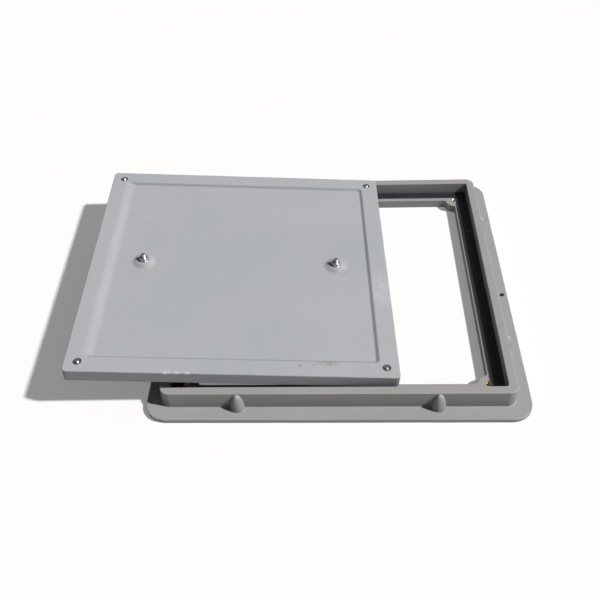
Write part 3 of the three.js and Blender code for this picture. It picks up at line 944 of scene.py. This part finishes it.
flange_edge, wall_edge, recess_edge = FRAME_SIDE / 2, WALL_SIDE / 2, RECESS_SIDE / 2
flange_part = [(flange_edge - BED_EDGE, 0)] + bend((flange_edge - EDGE, EDGE), EDGE, -90, 0)
flange_part += bend((flange_edge - EDGE, FLANGE_THICK - EDGE), EDGE, 0, 90)
wall_part = bend((wall_edge + WALL_FILLET, FLANGE_THICK + WALL_FILLET), WALL_FILLET, 270, 180)
wall_part += bend((wall_edge - EDGE, FRAME_HEIGHT - EDGE), EDGE, 0, 90)
recess_part = bend((recess_edge + EDGE, FRAME_HEIGHT - EDGE), EDGE, 90, 180)
recess_part += bend((recess_edge - FOOT_FILLET, LEDGE_TOP + FOOT_FILLET), FOOT_FILLET, 0, -90, 3)
lip, lip_drop = LEDGE_LIP
rings = [opening_ring(0)]
rings += zone(FRAME_SIDE, FLANGE_CORNER, flange_part)
rings += zone(WALL_SIDE, WALL_CORNER, wall_part)
rings += zone(RECESS_SIDE, RECESS_CORNER, recess_part)
rings += [opening_ring(LEDGE_TOP, lip), opening_ring(LEDGE_TOP - lip_drop, lip_drop),
          opening_ring(LEDGE_TOP - lip)]
frame_body = loft("frame_casting", rings, closed=True)
print("rings in the frame:", len(rings))

# %% [markdown]
# Anchor ribs stand against the wall, two on each side, shaped like the nose of a bullet, so that
# the surround can't lift off. The profile is a Bezier curve, and the node tree sets out all eight.
# The same tree sets out the relief pockets under the ledge, and the bores for the bushes.

# %% Ribs
RIB_SPACING, RIB_BASE, RIB_TOP = 362, 13.5, FRAME_HEIGHT - 2
RIB_SHOULDER = RIB_BASE / 2 + 1.3
RIB_FOOT, RIB_ROOT = 6, FLANGE_THICK + 1.5
SKIRT = ((1.6, -0.1), (0.6, 0.35))    # out from the rib's base, and up from the flange's top


def bezier(points, steps):
    """Points of a cubic Bezier curve in a section."""
    result = []
    for step in range(steps + 1):
        s = step / steps
        w = ((1 - s) ** 3, 3 * s * (1 - s) ** 2, 3 * s * s * (1 - s), s ** 3)
        result.append(tuple(sum(w[i] * points[i][axis] for i in range(4)) for axis in (0, 1)))
    return result


rib_middle = FLANGE_THICK + (RIB_TOP - FLANGE_THICK) * 0.5
rib_flank = bezier([(RIB_BASE, RIB_ROOT), (RIB_BASE - 1, rib_middle),
                    (RIB_SHOULDER, RIB_TOP), (0, RIB_TOP)], 16)
rib_skirt = [(RIB_BASE + outwards, FLANGE_THICK + rise) for outwards, rise in SKIRT]
rib = turned("rib", [(0, RIB_FOOT), (rib_skirt[0][0], RIB_FOOT)] + rib_skirt + rib_flank, sides=40)
set_out(rib, WALL_SIDE / 2, each_side=2, spacing=RIB_SPACING)
print("ribs, mm tall:", RIB_TOP - FLANGE_THICK)

# %% Pockets
POCKETS, POCKET_WEB, POCKET_WIDTH, POCKET_DEPTH, POCKET_SKIRT = 8, 6, 26, 9.5, 8
POCKET_TAPER, CORE_RADIUS, CORE_STEPS = 0.6, 2.0, 4
pocket_pitch = (OPENING_SIDE - 2 * BOSS_RADIUS) / POCKETS


def tapered_block(name, width, depth, low_end, high_end, taper):
    """A cutter with rounded corners that narrows towards its top, as a mould core does."""
    rings_here = []
    for height, inset in ((low_end, 0.0), (high_end, taper)):
        x, y = width / 2 - inset - CORE_RADIUS, depth / 2 - inset - CORE_RADIUS
        ring = []
        for turn, (sx, sy) in enumerate(((1, -1), (1, 1), (-1, 1), (-1, -1))):
            start = (turn - 1) * math.pi / 2
            ring += arc(sx * x, sy * y, CORE_RADIUS, start, start + math.pi / 2, CORE_STEPS, height)
        rings_here.append(ring)
    return loft(name, rings_here)


pocket = tapered_block("pocket", pocket_pitch - POCKET_WEB, POCKET_WIDTH, -THROUGH, POCKET_DEPTH,
                       POCKET_TAPER)
set_out(pocket, OPENING_SIDE / 2 + POCKET_SKIRT + POCKET_WIDTH / 2, each_side=POCKETS,
        spacing=pocket_pitch)
print("pockets, mm apart:", round(pocket_pitch, 1))

# %% Bores, and the cuts
BUSH_RADIUS = 6
FIXING_RADIUS, FIXING_IN, FIXING_ALONG, FIXING_CHAMFER = 5, 11.5, -32, 0.8
bore_top = LEDGE_TOP + 2 * THROUGH
bush_bore = turned("bush_bore", [(0, -THROUGH), (BUSH_RADIUS + CLEAR, -THROUGH),
                                 (BUSH_RADIUS + CLEAR, bore_top), (0, bore_top)])
set_out(bush_bore, LOCK_AT, shift=LOCK_AT)
fixing_mouth, fixing_top = FIXING_RADIUS + FIXING_CHAMFER, FLANGE_THICK + 3
fixing = turned("fixing_bore", [
    (0, -THROUGH), (FIXING_RADIUS, -THROUGH), (FIXING_RADIUS, FLANGE_THICK - FIXING_CHAMFER),
    (fixing_mouth, FLANGE_THICK), (fixing_mouth, fixing_top), (0, fixing_top)],
    place=Matrix.Translation((FRAME_SIDE / 2 - FIXING_IN, FIXING_ALONG, 0)))
combine(frame_body, [rib], "UNION")
combine(frame_body, [pocket, bush_bore, fixing], "DIFFERENCE")
print("frame faces after cutting:", len(frame_body.data.polygons))

# %% [markdown]
# A mould's ejector leaves a faint round mark, and handling leaves small dents on the flange's
# edge. Both could be bumps in the material, but then the mesh would lack them. So the mark is a
# shallow ring cut into the rim, and the dents move only points near the outer edge.

# %% The ejector's mark
EJECTOR_AT, EJECTOR_RADIUS, EJECTOR_DEPTH = (312.5, -152), 4.6, 0.35
mark_low, mark_high = FRAME_HEIGHT - EJECTOR_DEPTH, FRAME_HEIGHT + 1
ejector = turned("ejector_mark", [
    (EJECTOR_RADIUS - 0.9, mark_low), (EJECTOR_RADIUS, mark_low),
    (EJECTOR_RADIUS + 0.4, mark_high), (EJECTOR_RADIUS - 1.3, mark_high)],
    place=Matrix.Translation((*EJECTOR_AT, 0)))
combine(frame_body, [ejector], "DIFFERENCE")
print("ejector's mark, mm across:", 2 * EJECTOR_RADIUS)

# %% Dents on the edges, then finish the frame
DENT_REACH = 2.5              # how far in from the edge a point may still move
DENT_START = 0.15             # noise below this leaves the edge as it is
FLANGE_DENT, FLANGE_DENT_SCALE = 1.4, 0.05


def dent_edges(piece, half, height_range, depth, scale):
    """Presses points on an outer edge inwards by patches of noise."""
    for vertex in piece.data.vertices:
        p = vertex.co
        edge = max(abs(p.x), abs(p.y))
        if edge > half - DENT_REACH and height_range[0] < p.z < height_range[1]:
            amount = max(0.0, noise.noise(p * scale) - DENT_START) * depth
            p.x -= math.copysign(amount, p.x) if abs(p.x) > half - DENT_REACH else 0.0
            p.y -= math.copysign(amount, p.y) if abs(p.y) > half - DENT_REACH else 0.0


dent_edges(frame_body, flange_edge, (0.5, FLANGE_THICK + 1), FLANGE_DENT, FLANGE_DENT_SCALE)
settle(frame_body, frame_place, "frame", frame_finish, ["frame"])

# %% [markdown]
# ## The seal
#
# A flat rubber strip lies on the ledge against the wall's foot, and the lid presses on it. New
# rubber never lies quite flat: its inner edge wanders a little and its top rises and falls. We loft
# the strip, with a rounded inner edge, and let noise move its free side.

# %% Loft the seal
SEAL_WIDTH, SEAL_THICK = 19, 2.5
SEAL_GROOVE, GROOVE_RUN = 0.7, 1      # a shallow groove round the strip's back
SEAL_ROUND, SEAL_EDGE = 0.6, 1.0
NOSE = ((3, 0), (1.2, 0.35), (0.3, 1.0), (0, 1.7))      # out from the free edge, and down
seal_low, seal_high = LEDGE_TOP + CLEAR, LEDGE_TOP + CLEAR + SEAL_THICK
seal_out = RECESS_SIDE / 2 - CLEAR
seal_in = seal_out - SEAL_WIDTH
groove_at = seal_out - 6
section = [(seal_in + SEAL_EDGE, seal_low), (seal_out - 2 * SEAL_ROUND, seal_low)]
section += bend((seal_out - SEAL_ROUND, seal_high - SEAL_ROUND), SEAL_ROUND, 0, 90, 3)
section += [(groove_at + GROOVE_RUN, seal_high - SEAL_GROOVE / 2),
            (groove_at, seal_high - SEAL_GROOVE),
            (groove_at - GROOVE_RUN, seal_high - SEAL_GROOVE / 2),
            (groove_at - 2 * GROOVE_RUN, seal_high)]
section += [(seal_in + outwards, seal_high - down_by) for outwards, down_by in NOSE]
section += [(seal_in + 0.3, seal_low + 0.4)]
seal = loft("seal_strip", zone(RECESS_SIDE, RECESS_CORNER, section), closed=True)
print("seal, mm wide:", SEAL_WIDTH)

# %% Let the strip wander, and settle it
SWAY, SWAY_SCALE = 1.2, 0.011         # sideways, and the noise it follows
SINK, RIPPLE, RIPPLE_SCALE = 0.12, 0.22, 0.03
NOISE_FLOOR = 40                      # a level of the noise away from the sway's
TOP_BAND = 0.8                        # how deep the rippled top goes
for vertex in seal.data.vertices:
    p = vertex.co
    distance = max(abs(p.x), abs(p.y))
    free = max(0.0, min(1.0, (groove_at - distance) / (groove_at - seal_in)))
    sway = noise.noise(Vector((p.x, p.y, 0)) * SWAY_SCALE) * SWAY
    p.x += math.copysign(sway * free, p.x) if abs(p.x) >= abs(p.y) else 0.0
    p.y += math.copysign(sway * free, p.y) if abs(p.y) > abs(p.x) else 0.0
    if p.z > seal_high - TOP_BAND:
        p.z -= SINK + RIPPLE * abs(noise.noise(Vector((p.x, p.y, NOISE_FLOOR)) * RIPPLE_SCALE))
settle(seal, frame_place, "frame", seal_finish, ["seal"])

# %% [markdown]
# ## Brass bushes
#
# The lid's screws bite into brass, not into the composite. Each bush is turned with a chamfered
# mouth and grooves inside that stand for its thread. The four are equal, so the same node tree
# that set out the bores sets out the bushes.

# %% Make the bushes
BUSH_HEIGHT, SCREW_RADIUS = 16, 4
MOUTH_CHAMFER, FOOT_CHAMFER = 0.9, 0.8
BUSH_EDGES = (0.3, 0.25)              # the outer chamfers at the foot and at the mouth
GROOVE_PITCH, GROOVE_DEPTH = 1.25, 0.55
bush_low = LEDGE_TOP - BUSH_HEIGHT
bore = SCREW_RADIUS + CLEAR
foot_edge, mouth_edge = BUSH_EDGES
bush_profile = [(bore + FOOT_CHAMFER, bush_low), (BUSH_RADIUS - foot_edge, bush_low),
                (BUSH_RADIUS, bush_low + foot_edge), (BUSH_RADIUS, LEDGE_TOP - mouth_edge),
                (BUSH_RADIUS - mouth_edge, LEDGE_TOP), (bore + MOUTH_CHAMFER, LEDGE_TOP),
                (bore, LEDGE_TOP - MOUTH_CHAMFER)]
grooves = int((BUSH_HEIGHT - 3) / GROOVE_PITCH)
for groove_number in range(grooves):
    top = LEDGE_TOP - MOUTH_CHAMFER - groove_number * GROOVE_PITCH
    bush_profile += [(bore + GROOVE_DEPTH, top - GROOVE_PITCH / 2), (bore, top - GROOVE_PITCH)]
bushes = turned("brass_bushes", bush_profile, sides=40)
set_out(bushes, LOCK_AT, shift=LOCK_AT)
settle(bushes, frame_place, "frame", brass_finish,
       [f"insert_{number}" for number in range(1, 5)])

# %% [markdown]
# ## The lid's pan
#
# The lid is a sandwich: a moulded pan below and a ribbed deck on the walking side. We see the pan's
# outside, which is the lid's underside: a flat band that rests on the seal, a soft step all
# round, a shallow panel, and two low bosses that back the lifting points. It's lofted from the
# cavity's ceiling, round the side wall, over the band and down the step to the panel.

# %% The pan's section
LID_SIDE, LID_THICK, LID_CORNER, PAN_WALL = 600, 25, 9, 5
PANEL_BORDER, PANEL_SLOPE, PANEL_DEPTH, PAN_SKIN = 35, 6, 4, 5
STEP_ROWS, STEP_EASE = 8, 1.2         # the step runs out this far at its top and its foot
CAVITY_CORNER, PAN_LIP = 5, 1.0
PANEL_FLOOR = LID_THICK - PANEL_DEPTH
SKIN_BOTTOM = PANEL_FLOOR - PAN_SKIN
lid_edge, lid_inside = LID_SIDE / 2, LID_SIDE / 2 - PAN_WALL
step_top = lid_edge - PANEL_BORDER
step_foot = step_top - PANEL_SLOPE

cavity = zone(2 * lid_inside, CAVITY_CORNER, [(lid_inside, SKIN_BOTTOM), (lid_inside, PAN_LIP)])
wall_foot = bend((lid_inside + PAN_LIP, PAN_LIP), PAN_LIP, 180, 270, 3)
wall_foot += bend((lid_edge - EDGE, EDGE), EDGE, 270, 360)
band_edge = bend((lid_edge - EDGE, LID_THICK - EDGE), EDGE, 0, 90)
outside = zone(LID_SIDE, LID_CORNER, wall_foot + band_edge)
step_section = []
for row in range(STEP_ROWS + 1):
    s = row / STEP_ROWS
    ease = s * s * (3 - 2 * s)
    step_section.append((step_top + STEP_EASE - (PANEL_SLOPE + 2 * STEP_EASE) * s,
                         LID_THICK - PANEL_DEPTH * ease))
panel_step = zone(2 * step_top, PANEL_SLOPE + 4, step_section)
print("panel", round(2 * step_foot), "mm wide, set", PANEL_DEPTH, "mm deep")

# %% Draw out the left step, and loft the pan
SOFT_OUT, SOFT_IN = 6, 10             # the panel has sagged there, so the step is longer
for row, ring in enumerate(panel_step):
    down_step = row / STEP_ROWS
    for point in ring:
        if point.x < 0:
            point.x *= 1 + (SOFT_OUT * (1 - down_step) - SOFT_IN * down_step) / step_foot
pan = loft("lid_pan_moulding", cavity + outside + panel_step)
print("rings in the pan:", len(cavity + outside + panel_step))

# %% Bosses and posts on the pan
BOSS_FOOT, BOSS_TOP, STUD_RADIUS = 26, 12, 5
BOSS_RUN, BOSS_SHOULDER = 6, 4        # how far a boss's curve runs level at its foot and top
SUNK = 0.05                           # a boss's foot below the panel, so the two can be joined
ROOT = 2                              # how far a boss goes down into the skin
POST_WALL, POST_ROOT = 5, 1
lid_ends = [Matrix.Translation((x_at, 0, 0)) for x_at in (-LIFT_SPAN / 2, LIFT_SPAN / 2)]
lid_corners = [Matrix.Translation((sx * LOCK_AT, sy * LOCK_AT, 0))
               for sx, sy in ((-1, -1), (1, -1), (1, 1), (-1, 1))]

swell = bezier([(BOSS_FOOT, PANEL_FLOOR - SUNK), (BOSS_FOOT - BOSS_RUN, PANEL_FLOOR - SUNK),
                (BOSS_TOP + BOSS_SHOULDER, LID_THICK), (BOSS_TOP, LID_THICK)], 14)
boss = turned("boss", [(0, PANEL_FLOOR - ROOT), (BOSS_FOOT, PANEL_FLOOR - ROOT)]
              + swell + [(0, LID_THICK)], sides=64)
post_radius = SCREW_RADIUS + CLEAR + POST_WALL
post_low, post_high = SKIN_BOTTOM - POST_ROOT, SKIN_BOTTOM + POST_ROOT
post = turned("post", [(0, post_low), (post_radius, post_low), (post_radius, post_high),
                       (0, post_high)])
combine(pan, [joined_copy("bosses", boss, lid_ends), joined_copy("posts", post, lid_corners)],
        "UNION")
print("pan faces with bosses:", len(pan.data.polygons))

# %% Holes in the pan, then finish it
RING_RADIUS, RING_HEIGHT, RING_MOUTH = 7.5, 2.5, 0.5
HIGH = 30                             # above everything on the lid
LID_DENT, LID_DENT_SCALE = 1.1, 0.045
stud_bore, screw_bore = STUD_RADIUS + CLEAR, SCREW_RADIUS + CLEAR
ring_bore = RING_RADIUS + CLEAR
ring_seat = LID_THICK - RING_HEIGHT - 2 * CLEAR
stud_hole = turned("stud_hole", [(0, 0), (stud_bore, 0), (stud_bore, HIGH), (0, HIGH)])
screw_hole = turned("screw_hole", [
    (0, 0), (screw_bore, 0), (screw_bore, ring_seat), (ring_bore, ring_seat),
    (ring_bore, LID_THICK - RING_MOUTH), (ring_bore + RING_MOUTH, LID_THICK),
    (ring_bore + RING_MOUTH, HIGH), (0, HIGH)])
combine(pan, [joined_copy("stud_holes", stud_hole, lid_ends),
              joined_copy("screw_holes", screw_hole, lid_corners)], "DIFFERENCE")
dent_edges(pan, lid_edge, (LID_THICK - 3, LID_THICK + 1), LID_DENT, LID_DENT_SCALE)
settle(pan, lid_place, "lid", lid_finish, ["lid_pan"])

# %% [markdown]
# ## The deck, on the walking side
#
# The deck fills the pan from the walking side. Its plate carries the tread, ribs stiffen it, two
# round cups take a lifting key, and a post at each corner guides a screw. The ribs are what is left
# when a grid of pockets is cut from a slab, and the grid tree sets out the pockets. The tread is
# the same tree again: short bars, every other one turned by a quarter, kept clear of the cups
# and the posts.

# %% Cut the deck's cells
DECK_SET_IN, DECK_PLATE, DECK_RIB, DECK_CELLS = 2, 5, 5, 5
DECK_EDGE = 0.6
DECK_TOP = SKIN_BOTTOM - CLEAR
deck_half = lid_inside - CLEAR
slab_section = [(deck_half - DECK_EDGE, DECK_SET_IN), (deck_half, DECK_SET_IN + DECK_EDGE),
                (deck_half, DECK_TOP - 0.5)]
deck = loft("deck_moulding", zone(2 * deck_half, CAVITY_CORNER, slab_section))
cell_pitch = (2 * deck_half - DECK_RIB) / DECK_CELLS
cell_side = cell_pitch - DECK_RIB
cell = tapered_block("cell", cell_side, cell_side, DECK_SET_IN + DECK_PLATE, DECK_TOP + THROUGH, 0)
lay_out(cell, DECK_CELLS, cell_pitch)
combine(deck, [cell], "DIFFERENCE")
print("cells, mm wide:", round(cell_side, 1))

# %% Add the cups and the screw posts
CUP_RADIUS, CUP_WALL, CUP_DEPTH, CUP_LIP, CUP_ROUND = 30, 4, 11, 0.8, 1.5
HEAD_RADIUS, POST_TOP = 6.5, DECK_TOP - 1
SEAT_THICK = 1.6                      # deck left under a screw's head
cup_outer = CUP_RADIUS + CUP_WALL
post_outer = HEAD_RADIUS + CLEAR + POST_WALL
cup = turned("cup", [
    (0, 0), (cup_outer - CUP_LIP, 0), (cup_outer, CUP_LIP), (cup_outer, DECK_TOP), (0, DECK_TOP)],
    sides=64)
deck_post = turned("deck_post", [
    (0, 0), (post_outer - DECK_EDGE, 0), (post_outer, DECK_EDGE), (post_outer, POST_TOP),
    (0, POST_TOP)])
combine(deck, [joined_copy("cups", cup, lid_ends),
               joined_copy("deck_posts", deck_post, lid_corners)], "UNION")
print("deck faces with cups:", len(deck.data.polygons))

# %% Hollow them
screw_room, head_bore = POST_TOP - SEAT_THICK, HEAD_RADIUS + CLEAR
cup_hollow = turned("cup_hollow", [
    (0, -THROUGH), (CUP_RADIUS + CUP_LIP, -THROUGH), (CUP_RADIUS + CUP_LIP, 0),
    (CUP_RADIUS, CUP_LIP), (CUP_RADIUS, CUP_DEPTH - CUP_ROUND),
    (CUP_RADIUS - CUP_ROUND, CUP_DEPTH), (stud_bore, CUP_DEPTH), (stud_bore, HIGH), (0, HIGH)],
    sides=64)
screw_hollow = turned("screw_hollow", [
    (0, -THROUGH), (head_bore, -THROUGH), (head_bore, screw_room), (screw_bore, screw_room),
    (screw_bore, HIGH), (0, HIGH)])
combine(deck, [joined_copy("cup_hollows", cup_hollow, lid_ends),
               joined_copy("screw_hollows", screw_hollow, lid_corners)], "DIFFERENCE")
print("deck faces when hollowed:", len(deck.data.polygons))

# %% Lay the tread and join it to the deck
BAR_LONG, BAR_WIDE, TREAD_PITCH, TREAD_COUNT = 17, 6, 20, 29
END_STEPS = 5
BAR_ROWS = ((0.15, 1.1), (0.5, 0.7), (DECK_SET_IN + 0.4, 0.0))  # each a height and an inset


def tread_bar():
    """A low bar with rounded ends and sloping flanks, standing on the plate."""
    rows = []
    for height, inset in BAR_ROWS:
        radius, end_at = BAR_WIDE / 2 - inset, (BAR_LONG - BAR_WIDE) / 2
        rows.append([point for end in (1, -1) for point in arc(
            end * end_at, 0, radius, -end * math.pi / 2, math.pi - end * math.pi / 2,
            END_STEPS, height)])
    return loft("tread_bars", rows)


tread = tread_bar()
bar_faces = len(tread.data.polygons)
lay_out(tread, TREAD_COUNT, TREAD_PITCH, math.pi / 2,
        cups=(LIFT_SPAN / 2, cup_outer + BAR_LONG / 2),
        corners=(LOCK_AT, post_outer + BAR_LONG / 2))
print("tread bars:", len(tread.data.polygons) // bar_faces)
combine(deck, [tread], "UNION")
settle(deck, lid_place, "lid", deck_finish, ["lid_deck"])

# %% [markdown]
# ## Lifting bolts, washers and nuts
#
# A mushroom-headed bolt hangs in each cup for the key, and its threaded end comes out on the
# underside, where a washer and a nut hold it. The head and neck are turned, the thread is the
# node tree, and the two are joined into one body. The nut is a hexagon met by a turned crown, which
# gives the curved chamfers on its corners.

# %% Make the lifting bolts
HEAD_R, HEAD_H, NECK_R, NECK_H, STUD_OUT = 12, 4, 7, 2, 15
CAP_CURVE = ((4, 0), (1.8, 0.6), (0.4, 1.7), (0, 2.8))  # in from the head's edge, and up
NECK_FILLET = 0.5
STUD_PITCH, STUD_GROOVE, STUD_CHAMFER = 1.5, 0.8, 1.2
OVERLAP = 2                           # how far a thread starts inside its head
stud_tip = LID_THICK + STUD_OUT
neck_top = CUP_DEPTH - CLEAR
cap_top = neck_top - NECK_H
cap_low = cap_top - HEAD_H


def lifting_bolt(name):
    """A mushroom head and neck, joined to a threaded rod."""
    cap = [(HEAD_R - inset, cap_low + rise) for inset, rise in CAP_CURVE]
    head = turned(name, [(0, cap_low)] + cap + [
        (HEAD_R - 0.3, cap_top), (NECK_R + NECK_FILLET, cap_top),
        (NECK_R, cap_top + NECK_FILLET), (NECK_R, neck_top), (0, neck_top)])
    stud = threaded_rod(STUD_RADIUS, neck_top - OVERLAP, stud_tip, STUD_PITCH, STUD_GROOVE,
                        STUD_CHAMFER)
    return combine(head, [stud], "UNION")


print("studs stand out, mm:", STUD_OUT)

# %% Make the washers, and settle both
WASHER_RADIUS, WASHER_HEIGHT = 10, 2
WASHER_FOOT, WASHER_TOP, WASHER_BORE = 0.3, 0.4, 0.2    # its edges
washer_low = LID_THICK + CLEAR
washer_high = washer_low + WASHER_HEIGHT


def washer(name):
    """A flat washer with a rounded outer edge."""
    return turned(name, [
        (stud_bore, washer_low), (WASHER_RADIUS - WASHER_FOOT, washer_low),
        (WASHER_RADIUS, washer_low + WASHER_FOOT), (WASHER_RADIUS, washer_high - WASHER_TOP),
        (WASHER_RADIUS - WASHER_TOP, washer_high), (stud_bore + WASHER_BORE, washer_high),
        (stud_bore, washer_high - WASHER_BORE)], sides=64)


for number, place in enumerate(lid_ends, 1):
    settle(lifting_bolt(f"lifting_bolt_{number}"), lid_place @ place, "lid",
           zinc_finish, [f"lift_bolt_{number}"])
    settle(washer(f"washer_{number}"), lid_place @ place, "lid", zinc_finish,
           [f"lift_washer_{number}"])

# %% Make the nuts
NUT_FLATS, NUT_HEIGHT = 16, 5
NUT_CROWN, NUT_MOUTH, NUT_FACE = 1.0, 0.6, 0.3
NUT_SHARP = 28                        # degrees, so that the chamfers keep their edges
nut_low = washer_high + CLEAR
nut_high = nut_low + NUT_HEIGHT


def corner_radius(flats):
    """From a hexagon's middle to its corner, for a width across its flats."""
    return flats / 2 / math.cos(math.pi / 6)


def hexagon(name, flats, low_end, high_end, turn=0.0):
    reach = corner_radius(flats)
    rings_here = [[Vector((reach * math.cos(math.pi / 3 * step + turn),
                           reach * math.sin(math.pi / 3 * step + turn), height))
                   for step in range(6)] for height in (low_end, high_end)]
    return loft(name, rings_here)


def nut(name):
    """A hexagon met by a turned crown, and bored through."""
    body = hexagon(name, NUT_FLATS, nut_low, nut_high)
    corner, face = corner_radius(NUT_FLATS), NUT_FLATS / 2 - NUT_FACE
    crown = turned("crown", [
        (0, nut_low), (face, nut_low), (corner, nut_low + NUT_CROWN),
        (corner + 0.05, nut_high - NUT_CROWN), (face, nut_high), (0, nut_high)], sides=72)
    combine(body, [crown], "INTERSECT")
    mouth = stud_bore + NUT_MOUTH
    opening = turned("nut_bore", [
        (0, nut_low - 1), (mouth, nut_low - 1), (mouth, nut_low), (stud_bore, nut_low + NUT_MOUTH),
        (stud_bore, nut_high - NUT_MOUTH), (mouth, nut_high), (mouth, nut_high + 1),
        (0, nut_high + 1)])
    return combine(body, [opening], "DIFFERENCE")


for number, place in enumerate(lid_ends, 1):
    settle(nut(f"nut_{number}"), lid_place @ place, f"lift_nut_{number}", zinc_finish,
           [f"lift_nut_{number}"], sharp=NUT_SHARP)

# %% [markdown]
# ## Lock screws and their rubber rings
#
# A screw in each corner locks the lid to the frame's bushes. From the walking side its head shows,
# with a hexagon socket, and on the underside its threaded tip stands in a rubber ring, which
# keeps it from falling out when it's slack.

# %% Make the lock screws
SOCKET_FLATS, SOCKET_DEPTH, SOCKET_TURN = 6, 3, 0.3
HEAD_SINK, SCREW_HEAD, TIP_OUT = 1, 5, 2
HEAD_EDGE = 0.4
SCREW_PITCH, SCREW_GROOVE, SCREW_CHAMFER = 1.25, 0.65, 1.0
screw_head_top = HEAD_SINK + SCREW_HEAD
screw_tip = LID_THICK + TIP_OUT


def lock_screw(name):
    """A round head with a hexagon socket, joined to a threaded rod."""
    head = turned(name, [
        (0, HEAD_SINK), (HEAD_RADIUS - 1.0, HEAD_SINK), (HEAD_RADIUS - 0.3, HEAD_SINK + 0.3),
        (HEAD_RADIUS, HEAD_SINK + 1.0), (HEAD_RADIUS, screw_head_top - HEAD_EDGE),
        (HEAD_RADIUS - HEAD_EDGE, screw_head_top), (0, screw_head_top)])
    shank = threaded_rod(SCREW_RADIUS, screw_head_top - OVERLAP, screw_tip, SCREW_PITCH,
                         SCREW_GROOVE, SCREW_CHAMFER)
    combine(head, [shank], "UNION")
    socket = hexagon("socket", SOCKET_FLATS, 0, HEAD_SINK + SOCKET_DEPTH, turn=SOCKET_TURN)
    return combine(head, [socket], "DIFFERENCE")


print("screw tips stand out, mm:", TIP_OUT)

# %% Make the rubber rings, and settle both
RING_OUTSIDE = ((0, 0.9), (0.35, 0.35), (1.1, 0.05))    # in from the edge, and down from the top
RING_INSIDE = ((1.2, 0.1), (0.4, 0.5), (0, 1.1))        # out from the bore, and down
ring_high = LID_THICK - CLEAR


def keeper(name):
    """A rubber ring with a rounded top."""
    profile = [(screw_bore, ring_high - RING_HEIGHT), (RING_RADIUS, ring_high - RING_HEIGHT)]
    profile += [(RING_RADIUS - inset, ring_high - drop) for inset, drop in RING_OUTSIDE]
    profile += [(screw_bore + outset, ring_high - drop) for outset, drop in RING_INSIDE]
    return turned(name, profile)


for number, place in enumerate(lid_corners, 1):
    settle(lock_screw(f"lock_screw_{number}_bolt"), lid_place @ place, f"lock_screw_{number}",
           zinc_finish, [f"lock_screw_{number}"])
    settle(keeper(f"keeper_{number}"), lid_place @ place, "lid", ring_finish,
           [f"keeper_ring_{number}"])
